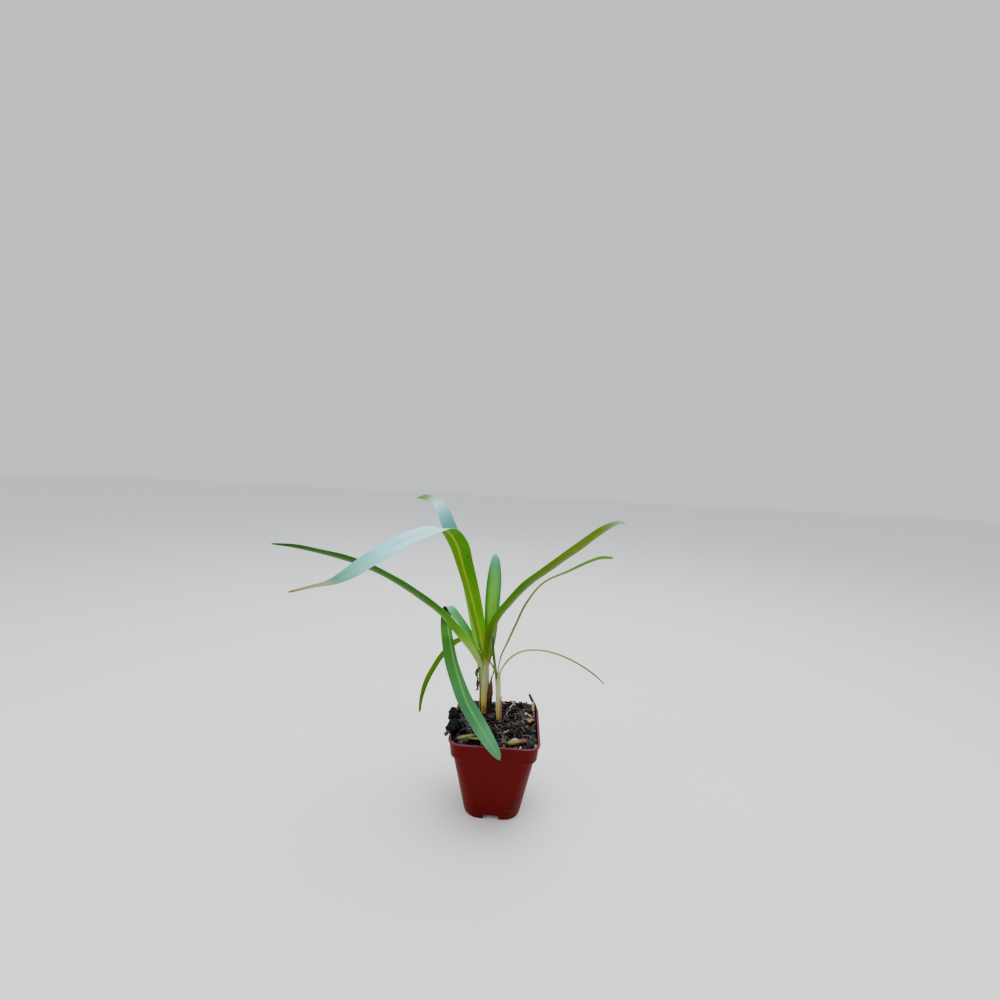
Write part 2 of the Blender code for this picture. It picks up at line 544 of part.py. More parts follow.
def litter(name, centre, turn, length, width, height, material, tilt=0.0, floor=None):
    """A worn chip or stub: an oval bar with blunt ends, laid on the compost."""
    share = np.array([-1.0, -0.92, -0.3, 0.35, 0.9, 1.0])
    swell = np.array([0.6, 0.9, 1.0, 0.92, 0.8, 0.5])
    angle = np.arange(LITTER_SIDES) * 2 * math.pi / LITTER_SIDES
    way = np.array([math.cos(math.radians(turn)), math.sin(math.radians(turn)), 0.0])
    side = np.array([-way[1], way[0], 0.0])
    up = np.array([0.0, 0.0, 1.0])
    loops = []
    for part, size in zip(share, swell):
        wobble = 1 + 0.1 * np.sin(3 * angle + 5 * part)
        loops.append(way * part * length / 2 + up * part * tilt
                     + size * wobble[:, None] * (np.cos(angle)[:, None] * side * width / 2
                                                 + np.sin(angle)[:, None] * up * height / 2))
    points = np.concatenate(loops) + np.array([centre[0], centre[1], 0.0])
    seat = seat_height(centre, way, length, width) if floor is None else floor
    lift = seat + GAP - points[:, 2].min()
    loops = [loop + np.array([centre[0], centre[1], lift]) for loop in loops]
    return loft(name, loops, material)


def stick(name, path, radii, material, sides=6):
    """A thin round piece along a path of points."""
    return loft(name, tube_loops(path, radii, sides), material)


def build_litter():
    """Loose pieces on the compost that stand out by size or colour."""
    litter("bark_lump", (-34.2, 7.5), 96, 19, 7.0, 6.4, BARK, 0.4, floor=POT_HEIGHT)
    litter("bark_lump_front", (-33.6, -13.5), 84, 15, 6.6, 5.0, BARK, -0.4, floor=POT_HEIGHT)
    litter("bark_crumb", (-34.6, -25.4), 60, 6.0, 3.4, 3.2, BARK, 0.2, floor=POT_HEIGHT)
    litter("cut_stub_left", (-22.0, -24.4), -4, 14, 4.4, 3.6, STUB, -0.6)
    litter("cut_stub_small", (-16.7, -29.2), -3, 7.6, 2.2, 1.8, STUB)
    litter("cut_stub_right", (16.4, -26.0), 21, 16, 4.4, 3.6, STUB, 0.5)
    litter("leaf_scrap", (21.4, -29.9), 16, 4.6, 1.8, 0.9, FIBRE)
    litter("corner_scrap", (29.2, -23.0), 70, 5.2, 2.4, 1.6, STUB, 0.3)
    litter("bark_flake", (27.6, 3.4), 60, 6, 3.2, 1.4, FIBRE)
    litter("twig_stub", (26.0, 19.5), 85, 9.0, 1.9, 1.8, STUB)
    stick("twig", [(32.6, 26.9, 65.6), (31.0, 27.2, 69.4), (29.0, 27.3, 72.6), (26.6, 27.5, 77.4)],
          [0.9, 0.8, 0.75, 0.5], BARK)


build_pot()
build_rootstock()
build_soil()
build_main_leaves()
build_side_shoot()
build_dry_bits()
build_litter()
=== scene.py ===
"""Looks of a young agapanthus in a small square nursery pot.

Strap leaves wrap one another in half sheaths and form a short false stem; a
grassy side shoot stands beside it in bark compost. Shapes are numpy grids in
millimetres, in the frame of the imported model, and mesh_piece turns them to
metres.
"""
import math

import bpy
import numpy as np
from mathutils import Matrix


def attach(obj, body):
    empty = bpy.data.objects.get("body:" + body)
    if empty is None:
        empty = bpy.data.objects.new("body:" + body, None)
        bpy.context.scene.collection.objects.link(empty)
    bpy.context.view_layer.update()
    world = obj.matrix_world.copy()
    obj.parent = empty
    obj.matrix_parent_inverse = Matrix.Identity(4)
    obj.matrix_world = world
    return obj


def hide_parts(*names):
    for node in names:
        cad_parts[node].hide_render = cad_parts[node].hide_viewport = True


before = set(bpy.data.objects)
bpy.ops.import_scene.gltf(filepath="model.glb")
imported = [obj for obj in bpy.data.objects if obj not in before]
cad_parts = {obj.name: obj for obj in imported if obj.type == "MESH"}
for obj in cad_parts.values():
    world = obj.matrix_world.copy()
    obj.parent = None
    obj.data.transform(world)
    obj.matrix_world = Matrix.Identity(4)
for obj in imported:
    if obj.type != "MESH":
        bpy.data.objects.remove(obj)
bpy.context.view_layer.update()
MILLIMETRE = 0.001

# Camera of the photo, solved from the pot: lens in mm on a 36 mm sensor, place in metres, turn in degrees
CAMERA_LENS = 17.28
CAMERA_PLACE = (0.0104, -0.3737, 0.2715)
CAMERA_TURN = (85.96, -2.74, 2.62)

# Pot, in mm
RIM_HALF = 35.0
POT_HEIGHT = 65.0
FOOT_HALF = 22.2
WALL = 1.1
RIM_RADIUS = 9.5
FOOT_RADIUS = 13.6
COLLAR_HALF_TOP = 34.1
COLLAR_HALF_LOW = 33.0
COLLAR_LOW_Z = 52.5
BODY_TOP_HALF = 31.2
FLOOR_Z = 3.8
FLOOR_THICK = 1.3
NOTCH_WIDTH = 12.0
NOTCH_HEIGHT = 3.6
BOSS_RADIUS = 4.5
DRAIN_RADIUS = 2.5
DRAIN_OFFSET = 13.0
WALL_SLOPE = (BODY_TOP_HALF - FOOT_HALF) / COLLAR_LOW_Z

# Compost, in mm
# Space left under a stub or lump
GAP = 0.3
SOIL_Z = 61.5
SOIL_MOUND = 2.2
MOUND_REACH = 22.0
SOIL_RELIEF = 5.0
SOIL_HALF = 32.2
SOIL_RADIUS = RIM_RADIUS - 1
HEAP_BACK = 4.2
HEAP_RIGHT = 2.8
HEAP_FRONT = 2.0
HEAP_LEFT = 2.2
STEM_HOLLOW = 4.6
# Dents under the stubs, as (x, y, depth)
STUB_DENTS = [(16.9, -25.8, 3.0), (-21.6, -23.9, 1.2), (27.6, 3.4, 0.8)]
DENT_REACH_SQUARED = 90.0
CHIP_COUNT = 150
CHIP_STEEPNESS = 9.0
SEAT_CELLS = 40
SEAT_MARGIN = 0.7
CLEAR_OF_LIP_Z = POT_HEIGHT + 0.4
OVERHANG_HALF = RIM_HALF - 0.8
INSIDE_HALF = COLLAR_HALF_TOP - WALL - 0.15
SKIRT_SHRINK = 0.98
SKIRT_Z = COLLAR_LOW_Z + 1.6

# Place of a piece in its compost's colour stops, from 0 to 1
BED_TINT = 0.12
SPECK_TINT = 0.2
BAR_TINT = 0.3

# Stems, in mm
CROWN_Z = 55.0
# Each stem has its foot, its lean and three radii: its core, the hollow round it and the space clear of chips
MAIN_STEM = dict(base=np.array([-10.4, 19.0, CROWN_Z]), lean=np.array([-0.037, -0.023, 1.0]),
                 core=1.0, hollow=7.0, clear=4.4)
SIDE_SHOOT = dict(base=np.array([1.9, 11.0, CROWN_Z]), lean=np.array([-0.054, -0.045, 1.0]),
                  core=0.75, hollow=6.0, clear=3.2)
LEAF_THICK = 0.62
SHEATH_PITCH = 1.15
VEIN_PITCH = 0.588
VEIN_LENGTH = 28.6
# Share of its radius that a sheath has at its foot
FOOT_OF_STEM = 0.6
# Start of the free part for a piece that is free all along
NO_SHEATH = -20


def linear(code):
    """Linear RGBA from an sRGB hex code: below 0.04045 divide by 12.92, above it raise to 2.4."""
    parts = [int(code[i:i + 2], 16) / 255 for i in (0, 2, 4)]
    return (*[c / 12.92 if c <= 0.04045 else ((c + 0.055) / 1.055) ** 2.4 for c in parts], 1.0)


def add_node(tree, kind, inputs=None, out=0, **settings):
    """Add one shader node, set it, give its inputs values or other nodes' outputs, and return an output."""
    made = tree.nodes.new("ShaderNode" + kind)
    for key, value in settings.items():
        setattr(made, key, value)
    for key, value in (inputs or {}).items():
        if isinstance(value, bpy.types.NodeSocket):
            tree.links.new(value, made.inputs[key])
        else:
            made.inputs[key].default_value = value
    return made.outputs[out]


def new_material(name, roughness, ior=1.45, gloss=0.5):
    """A material and its shader; gloss scales the mirror reflection."""
    material = bpy.data.materials.new(name)
    material.use_nodes = True
    shader = material.node_tree.nodes["Principled BSDF"]
    shader.inputs["Roughness"].default_value = roughness
    shader.inputs["IOR"].default_value = ior
    shader.inputs["Specular IOR Level"].default_value = gloss
    return material, material.node_tree, shader


def grains(mm):
    """Noise scale that gives grains of so many mm, as Object coordinates are in metres."""
    return 1 / (mm * MILLIMETRE)


def set_stops(ramp, stops, span=1.0):
    """Give a colour ramp its (position, hex) stops, where span is the last position possible."""
    elements = ramp.node.color_ramp.elements
    while len(elements) < len(stops):
        elements.new(0.5)
    for element, (position, code) in zip(elements, stops):
        element.position = position / span
        element.color = linear(code)


def tint_where(tree, colour, code, value, low, high, start, end, easing="LINEAR"):
    """Lay a tint over a colour; its weight goes from start to end while the value goes from low to high."""
    weight = add_node(tree, "MapRange", {0: value, 1: low, 2: high, 3: start, 4: end},
                      interpolation_type=easing)
    return add_node(tree, "Mix", {0: weight, 6: colour, 7: linear(code)}, 2, data_type="RGBA")


def coat(tree, colour, relief, strength, depth):
    """Wire a colour and a fine relief, depth in mm, into the material's shader."""
    shader = tree.nodes["Principled BSDF"]
    bump = add_node(tree, "Bump", {"Height": relief, "Strength": strength, "Distance": depth * MILLIMETRE})
    tree.links.new(colour, shader.inputs["Base Color"])
    tree.links.new(bump, shader.inputs["Normal"])


def smooth(value, low, high):
    """Smoothstep: 0 below low, 1 above high, 3s^2 - 2s^3 between."""
    share = np.clip((value - low) / (high - low), 0, 1)
    return share * share * (3 - 2 * share)


def grid_quads(rows, columns, wrap=False):
    """Quads of points numbered row by row; wrap joins the last column to the first."""
    last = columns if wrap else columns - 1
    i, j = np.meshgrid(np.arange(rows - 1), np.arange(last), indexing="ij")
    after = (j + 1) % columns
    quads = [i * columns + j, i * columns + after, (i + 1) * columns + after, (i + 1) * columns + j]
    return np.stack(quads, axis=-1).reshape(-1, 4)


def tube_faces(rows, sides):
    """Faces of rings numbered row by row, closed into a tube with a cap at either end."""
    caps = [list(range(sides))[::-1], [(rows - 1) * sides + k for k in range(sides)]]
    return grid_quads(rows, sides, wrap=True).tolist() + caps


def turned(across, up, angle):
    """Turn a pair of coordinates by an angle in radians: (a cos - b sin, a sin + b cos)."""
    return across * np.cos(angle) - up * np.sin(angle), across * np.sin(angle) + up * np.cos(angle)


def mesh_piece(name, points, faces, material, slot, stands_for=(), sharp=180.0, **attributes):
    """A piece from points in mm, with float attributes per point; it rides on the plant's one body."""
    mesh = bpy.data.meshes.new(name)
    mesh.from_pydata((np.asarray(points) * MILLIMETRE).tolist(), [], [list(map(int, f)) for f in faces])
    mesh.update()
    mesh.shade_smooth()
    if sharp < 180:
        mesh.set_sharp_from_angle(angle=math.radians(sharp))
    for key, values in attributes.items():
        layer = mesh.attributes.new(key, "FLOAT", "POINT")
        layer.data.foreach_set("value", np.asarray(values, np.float32).ravel())
    mesh.materials.append(material)
    piece = bpy.data.objects.new(name, mesh)
    bpy.context.scene.collection.objects.link(piece)
    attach(piece, "root")
    if stands_for:
        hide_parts(*stands_for)
    return piece


def merge_shapes(shapes):
    """Join several (points, faces, values) into one, shifting the face numbers."""
    points, faces, values, shift = [], [], [], 0
    for part_points, part_faces, part_values in shapes:
        points.append(part_points)
        faces += [[k + shift for k in face] for face in part_faces]
        values.append(part_values)
        shift += len(part_points)
    return np.concatenate(points), faces, np.concatenate(values)


def stage_setup():
    """Pale floor, soft overcast light and the camera at the photographed angle."""
    scene = bpy.context.scene
    material, _, shader = new_material("matt_white_paper", 0.9)
    shader.inputs["Base Color"].default_value = linear("F4F4F4")
    reach = 4.0
    mesh = bpy.data.meshes.new("floor")
    mesh.from_pydata([(-reach, -reach, 0), (reach, -reach, 0), (reach, reach, 0), (-reach, reach, 0)],
                     [], [(0, 1, 2, 3)])
    mesh.materials.append(material)
    floor = bpy.data.objects.new("floor", mesh)
    scene.collection.objects.link(floor)
    world = bpy.data.worlds.new("overcast_sky")
    world.use_nodes = True
    world.node_tree.nodes["Background"].inputs["Color"].default_value = linear("F7FAFF")
    world.node_tree.nodes["Background"].inputs["Strength"].default_value = 0.85
    scene.world = world
    # Name, size in metres, power in watts, place and colour
    panels = [("sky_panel", 1.0, 15.0, (0.1, 0.15, 1.2), "FFFFFF"),
              ("window_panel", 0.6, 2.5, (-0.9, -0.5, 0.7), "FFF4E6")]
    target = np.array([0.0, 0.0, 0.1])
    for name, size, power, place, tint in panels:
        light = bpy.data.lights.new(name, "AREA")
        light.size = size
        light.energy = power
        light.color = linear(tint)[:3]
        lamp = bpy.data.objects.new(name, light)
        away = np.array(place) - target
        level = math.hypot(away[0], away[1])
        lamp.location = place
        lamp.rotation_euler = (math.atan2(level, away[2]), 0, math.atan2(away[1], away[0]) + math.pi / 2)
        scene.collection.objects.link(lamp)
    data = bpy.data.cameras.new("camera")
    data.sensor_width = 36.0
    data.lens = CAMERA_LENS
    camera = bpy.data.objects.new("camera", data)
    camera.location = CAMERA_PLACE
    camera.rotation_euler = [math.radians(angle) for angle in CAMERA_TURN]
    scene.collection.objects.link(camera)
    scene.camera = camera


def pot_outline(half, radius, corner_steps=16):
    """Rounded square, each side's middle and notch edges first, then the corner's arc.

    The boss is a circle too small for the notch, so its notch edges are
    drawn in.
    """
    points = []
    for quarter in range(4):
        turn = quarter * math.pi / 2
        ahead = np.array([math.cos(turn), math.sin(turn)])
        side = np.array([-ahead[1], ahead[0]])
        edge = 0.35 * half
        if half > NOTCH_WIDTH / 2 + 1:
            edge = min(NOTCH_WIDTH / 2, (half - radius) + 0.7 * radius)
        depth = half if half > radius else math.sqrt(max(half**2 - edge**2, 0))
        points += [ahead * half, ahead * depth + side * edge]
        angle = np.linspace(0, math.pi / 2, corner_steps)
        if half <= radius:
            inset = math.atan2(edge, depth) * 1.4
            angle = np.linspace(inset, math.pi / 2 - inset, corner_steps)
        centre = (half - radius) * (ahead + side) if half > radius else np.zeros(2)
        reach = min(radius, half)
        points += [centre + reach * (math.cos(a) * ahead + math.sin(a) * side) for a in angle]
        points.append(side * depth + ahead * edge)
    return np.array(points)


def build_pot(material):
    """Moulded pot: one profile carried round a rounded square, with a foot notch on each side.

    Each row is (half width, corner radius, height). The rows run from the
    boss below the floor, down the inside of the foot, up the outside over
    collar and lip, and down the inside wall to the floor. Notch faces between
    the two rows at notch height are left out, and the cut is walled.
    """
    floor_top = FLOOR_Z + FLOOR_THICK
    inner_foot = FOOT_HALF + floor_top * WALL_SLOPE - WALL
    inside, inner_radius = FOOT_HALF - WALL, FOOT_RADIUS - WALL
    body = [(FOOT_HALF + WALL_SLOPE * z, FOOT_RADIUS + (RIM_RADIUS - 1.2 - FOOT_RADIUS) * z / 51, z)
            for z in (NOTCH_HEIGHT, 8, 14, 20, 26, 32, 38, 44, 48.5, 50.6)]
    rows = [(BOSS_RADIUS, BOSS_RADIUS, 0.0), (BOSS_RADIUS + 0.15, BOSS_RADIUS + 0.15, 0.2),
            (BOSS_RADIUS + 0.3, BOSS_RADIUS + 0.3, FLOOR_Z),
            (inside + 0.4, inner_radius, FLOOR_Z), (inside + 0.3, inner_radius, NOTCH_HEIGHT),
            (inside, inner_radius, 0.3), (inside + 0.1, inner_radius, 0.05),
            (inside + 0.25, FOOT_RADIUS - 0.9, 0.0), (FOOT_HALF - 0.35, FOOT_RADIUS - 0.2, 0.0),
            (FOOT_HALF - 0.12, FOOT_RADIUS, 0.1), (FOOT_HALF + 0.02, FOOT_RADIUS, 0.4)]
    outer_notch_row = len(rows)
    rows += body
    rows += [(31.05, 8.5, 51.15), (31.35, 8.7, 51.5), (31.8, 8.9, 51.75), (32.3, 9.1, 51.95),
             (32.7, 9.3, 52.2), (32.95, 9.4, 52.6), (COLLAR_HALF_LOW + 0.05, RIM_RADIUS, 53.2),
             (33.3, RIM_RADIUS, 56), (33.7, RIM_RADIUS, 59.5), (34.0, RIM_RADIUS, 62.4),
             (34.1, RIM_RADIUS, 63.0), (34.25, 9.7, 63.28), (34.55, 9.9, 63.42), (34.82, 10.0, 63.55),
             (34.96, 10.1, 63.8), (RIM_HALF, 10.1, 64.15), (34.95, 10.1, 64.5), (34.78, 10.0, 64.78),
             (34.5, 9.9, 64.94), (34.15, 9.7, POT_HEIGHT), (33.75, 9.4, POT_HEIGHT),
             (33.4, 9.2, 64.94), (33.15, 9.0, 64.75), (33.0, 8.9, 64.4), (32.9, 8.8, 63.8),
             (31.95, 8.5, 53.6), (31.8, 8.4, 52.8), (30.5, 7.8, 51.9), (30.1, 7.6, 51.0),
             (26.6, 9.4, 29.0), (inner_foot + 0.5, inner_radius, floor_top + 1.5),
             (inner_foot + 0.1, inner_radius, floor_top + 0.5),
             (inner_foot - 0.8, inner_radius, floor_top), (BOSS_RADIUS, BOSS_RADIUS, floor_top)]
    outlines = [pot_outline(half, radius) for half, radius, _ in rows]
    count = len(outlines[0])
    loops = [np.column_stack([outline, np.full(count, row[2])]) for outline, row in zip(outlines, rows)]
    quads = grid_quads(len(rows), count, wrap=True)
    per_side = count // 4
    # The row inside the foot at the notch's height
    inner_row = 4
    row, column = quads[:, 0] // count, quads[:, 0] % count
    in_notch = (row >= inner_row) & (row < outer_notch_row) & np.isin(column % per_side, (0, per_side - 1))
    faces = quads[~in_notch].tolist()
    for quarter in range(4):
        middle = quarter * per_side
        before, after = (middle - 1) % count, middle + 1
        for a, b in ((before, middle), (middle, after)):
            faces.append([inner_row * count + a, inner_row * count + b,
                          outer_notch_row * count + b, outer_notch_row * count + a])
        column_rows = list(range(inner_row, outer_notch_row + 1))
        faces.append([r * count + before for r in column_rows])
        faces.append([r * count + after for r in column_rows][::-1])
    faces.append(list(range(count))[::-1])
    last = (len(rows) - 1) * count
    faces.append([last + k for k in range(count)])
    piece = mesh_piece("square_nursery_pot", np.concatenate(loops), faces, material,
                       "terracotta_red_polypropylene", ["pot"], sharp=32.0)
    for quarter in range(4):
        angle = quarter * math.pi / 2
        place = np.array([DRAIN_OFFSET * math.cos(angle), DRAIN_OFFSET * math.sin(angle),
                          FLOOR_Z + FLOOR_THICK / 2]) * MILLIMETRE
        bpy.ops.mesh.primitive_cylinder_add(vertices=32, radius=DRAIN_RADIUS * MILLIMETRE,
                                            depth=6 * MILLIMETRE, location=place)
        drill = bpy.context.object
        cut = piece.modifiers.new("drain_hole", "BOOLEAN")
        cut.object = drill
        cut.operation = "DIFFERENCE"
        cut.solver = "EXACT"
        bpy.context.view_layer.update()
        graph = bpy.context.evaluated_depsgraph_get()
        piece.data = bpy.data.meshes.new_from_object(piece.evaluated_get(graph))
        piece.modifiers.clear()
        bpy.data.objects.remove(drill, do_unlink=True)
    return piece


def polypropylene():
    """Injection-moulded polypropylene, dark brick red: satin, faintly mottled, its thin lip with a painted
    pale pink highlight.

    A painted shadow darkens a band just under the collar, and small dirt spots are scattered over the pot.
    """
    material, tree, shader = new_material("moulded_red_polypropylene", 0.42, 1.49, 0.06)
    place = add_node(tree, "TexCoord", out="Object")
    height = add_node(tree, "SeparateXYZ", {0: place}, "Z")
    cloud = add_node(tree, "TexNoise", {"Vector": place, "Scale": grains(26.3), "Detail": 4.0})
    colour = add_node(tree, "Mix", {0: cloud, 6: linear("500402"), 7: linear("5A0604")}, 2, data_type="RGBA")
    # Painted highlight: the top of the lip is tinted pale pink where the sky shows in it
    lip_highlight_low, lip_highlight_high = (POT_HEIGHT - 0.7) * MILLIMETRE, (POT_HEIGHT - 0.1) * MILLIMETRE
    colour = tint_where(tree, colour, "703C50", height, lip_highlight_low, lip_highlight_high, 0.0, 0.8, "SMOOTHSTEP")
    # Painted shadow: a dark band just under the collar, where its ledge shades the body
    collar_shadow_z = [(COLLAR_LOW_Z + offset) * MILLIMETRE for offset in (-1.9, -1.2, -0.6, -0.2)]
    under = add_node(tree, "MapRange", {0: height, 1: collar_shadow_z[0], 2: collar_shadow_z[1], 3: 0.0, 4: 0.6},
                     interpolation_type="SMOOTHSTEP")
    colour = tint_where(tree, colour, "1C0202", height, collar_shadow_z[2], collar_shadow_z[3], under, 0.0, "SMOOTHSTEP")
    spots = add_node(tree, "TexNoise", {"Vector": place, "Scale": grains(2.38), "Detail": 2.0})
    colour = tint_where(tree, colour, "1E0E0A", spots, 0.70, 0.76, 0.0, 0.7)
    rough = add_node(tree, "MapRange", {0: cloud, 1: 0.3, 2: 0.7, 3: 0.34, 4: 0.46})
    tree.links.new(rough, shader.inputs["Roughness"])
    # Skin of the spark-eroded mould, about 0.4 mm from grain to grain
    skin = add_node(tree, "TexNoise", {"Vector": place, "Scale": grains(0.4), "Detail": 2.0})
    coat(tree, colour, skin, 0.12, 0.05)
    return material


def soil_height(x, y):
    """Compost surface: a low mound under tilted chips, each a flat plate with steep sides.

    It is heaped above the rim at the back, the right, the front right and the
    left, and the heaps fall off towards the lip. A hollow runs round both
    stems, and the stubs lie in shallow dents.
    """
    from_stem = np.hypot(x - MAIN_STEM["base"][0], y - MAIN_STEM["base"][1])
    height = SOIL_Z + SOIL_MOUND * np.exp(-(from_stem / MOUND_REACH) ** 2)
    height = height + 0.8 * np.sin(x / 6.1) * np.cos(y / 4.7)
    draw = np.random.default_rng(11)
    rim_fade = 1.0 - 0.55 * np.clip((np.maximum(np.abs(x), np.abs(y)) - 24) / 8, 0, 1)
    for _ in range(CHIP_COUNT):
        cx, cy = draw.uniform(-31, 31, 2)
        turn = draw.uniform(0, math.pi)
        long_half, wide_half = draw.uniform(1.6, 4.6), draw.uniform(0.9, 2.1)
        slope_a, slope_b = draw.uniform(-0.4, 0.4), draw.uniform(-0.5, 0.5)
        rise = draw.uniform(0.6, 3.2)
        a, b = turned(x - cx, y - cy, -turn)
        edge = np.maximum(np.abs(a) / long_half, np.abs(b) / wide_half)
        fall = CHIP_STEEPNESS * np.maximum(edge - 0.85, 0)
        height = np.maximum(height, SOIL_Z + rise * rim_fade + slope_a * a + slope_b * b - fall)
    height = np.clip(height, SOIL_Z - 1.0, SOIL_Z + SOIL_RELIEF)
    back_heap = HEAP_BACK * smooth(y, 8, 29) * smooth(x, -20, 4)
    right_heap = HEAP_RIGHT * smooth(x, 11, 27)
    front_heap = HEAP_FRONT * smooth(-y, 24, 31) * smooth(x, -4, 8)
    left_heap = HEAP_LEFT * smooth(-x, 24, 30) * smooth(y, -22, -16) * smooth(-y, -12, -6)
    heap = np.max([back_heap, right_heap, front_heap, left_heap], axis=0)
    heap = heap * (1 - 0.25 * smooth(height, 64, 66.5))
    heap *= 1 - 0.6 * smooth(np.maximum(np.abs(x), np.abs(y)), 30.2, SOIL_HALF)
    hollow = sum(np.exp(-(np.hypot(x - stem["base"][0], y - stem["base"][1]) / stem["hollow"]) ** 2)
                 for stem in (MAIN_STEM, SIDE_SHOOT))
    dents = sum(depth * np.exp(-((x - at) ** 2 + (y - back) ** 2) / DENT_REACH_SQUARED)
                for at, back, depth in STUB_DENTS)
    return height + heap - STEM_HOLLOW * np.minimum(hollow, 1) - dents


def rounded_grid(cells, half, radius):
    """Square grid squeezed into a rounded square: rows of x and y."""
    line = np.linspace(-1, 1, cells + 1)
    u, v = np.meshgrid(line, line, indexing="ij")
    reach = np.maximum(np.abs(u), np.abs(v))
    low = np.minimum(np.abs(u), np.abs(v)) / np.maximum(reach, 1e-9)
    inset = 1 - radius / half
    over = np.maximum(low - inset, 0.0)
    # Distance at which the ray of slope low meets the corner's arc
    a = 1 + low**2
    b = -2 * inset * (1 + low)
    c = 2 * inset**2 - (radius / half) ** 2
    root = (-b + np.sqrt(np.maximum(b * b - 4 * a * c, 0))) / (2 * a)
    shrink = np.where(over > 0, root, 1.0)
    scale = half * (1 - (1 - shrink) * reach**2)
    return u * scale, v * scale


def seat_height(centre, way, length, width):
    """Highest point of the coarse compost grid under a piece's footprint."""
    x, y = rounded_grid(SEAT_CELLS, SOIL_HALF, SOIL_RADIUS)
    a = (x - centre[0]) * way[0] + (y - centre[1]) * way[1]
    b = (y - centre[1]) * way[0] - (x - centre[0]) * way[1]
    under = (np.abs(a) < length / 2 + SEAT_MARGIN) & (np.abs(b) < width / 2 + SEAT_MARGIN)
    return soil_height(x, y)[under].max()


def build_compost_bed(material):
    """The compost's surface at 0.4 mm, with crumbs as small waves, closed by a skirt and a floor."""
    cells = 150
    x, y = rounded_grid(cells, SOIL_HALF, SOIL_RADIUS)
    crumbs = (0.16 * np.sin(3.1 * x + 1.7 * y) * np.sin(2.3 * y - 1.1 * x)
              + 0.12 * np.sin(5.9 * x - 2.0) * np.sin(6.7 * y + 0.7))
    top = np.stack([x, y, soil_height(x, y) - 0.25 + crumbs], axis=-1)
    count = cells + 1
    quads = grid_quads(count, count)[:, ::-1]
    ring = ([(i, 0) for i in range(cells)] + [(cells, j) for j in range(cells)]
            + [(i, cells) for i in range(cells, 0, -1)] + [(0, j) for j in range(cells, 0, -1)])
    edge = np.array([i * count + j for i, j in ring])
    skirt = top.reshape(-1, 3)[edge] * [SKIRT_SHRINK, SKIRT_SHRINK, 0] + [0, 0, SKIRT_Z]
    base = count * count
    low = base + np.arange(len(edge))
    nxt = np.roll(np.arange(len(edge)), -1)
    walls = np.stack([edge, low, low[nxt], edge[nxt]], axis=-1)
    faces = quads[:, ::-1].tolist() + walls.tolist() + [low[::-1].tolist()]
    return mesh_piece("compost_bed", np.concatenate([top.reshape(-1, 3), skirt]), faces, material,
                      "bark_compost", ["soil"], tint=np.full(base + len(edge), BED_TINT))


def compost(name, stops, roughness, gloss=0.35, painted_glint=None):
    """Damp composted bark: near-black and dull, its chips tinted one by one, with a fibrous grain.

    stops are the colours over the chips' tint, and the last argument a colour
    that clouds some places as a painted reflection.
    """
    material, tree, _ = new_material(name, roughness, 1.45, gloss)
    tint = add_node(tree, "Attribute", out="Fac", attribute_name="tint")
    place = add_node(tree, "TexCoord", out="Object")
    colour = add_node(tree, "ValToRGB", {0: tint})
    set_stops(colour, stops)
    # Bark fibres, about 0.6 mm wide
    fibres = add_node(tree, "TexNoise", {"Vector": place, "Scale": grains(0.625), "Detail": 5.0,
                                         "Roughness": 0.65})
    shade = add_node(tree, "MapRange", {0: fibres, 1: 0.3, 2: 0.75, 3: 0.45, 4: 1.7})
    colour = add_node(tree, "Mix", {0: 1.0, 6: colour, 7: shade}, 2, data_type="RGBA", blend_type="MULTIPLY")
    if painted_glint:
        cloud = add_node(tree, "TexNoise", {"Vector": place, "Scale": grains(3.03), "Detail": 4.0})
        colour = tint_where(tree, colour, painted_glint, cloud, 0.5, 0.68, 0.0, 1.0)
    coat(tree, colour, fibres, 0.6, 0.3)
    return material


def chip_shape(rows, sides):
    """Unit worn chip: a squared-off ball, its latitude rings pushed towards a box."""
    up = np.linspace(-math.pi / 2, math.pi / 2, rows + 2)[1:-1]
    around = np.arange(sides) * 2 * math.pi / sides
    latitude, longitude = np.meshgrid(up, around, indexing="ij")
    ball = np.stack([np.sin(latitude), np.cos(latitude) * np.cos(longitude),
                     np.cos(latitude) * np.sin(longitude)], axis=-1)
    points = np.sign(ball) * np.abs(ball) ** 0.5
    return points.reshape(-1, 3), tube_faces(rows, sides)


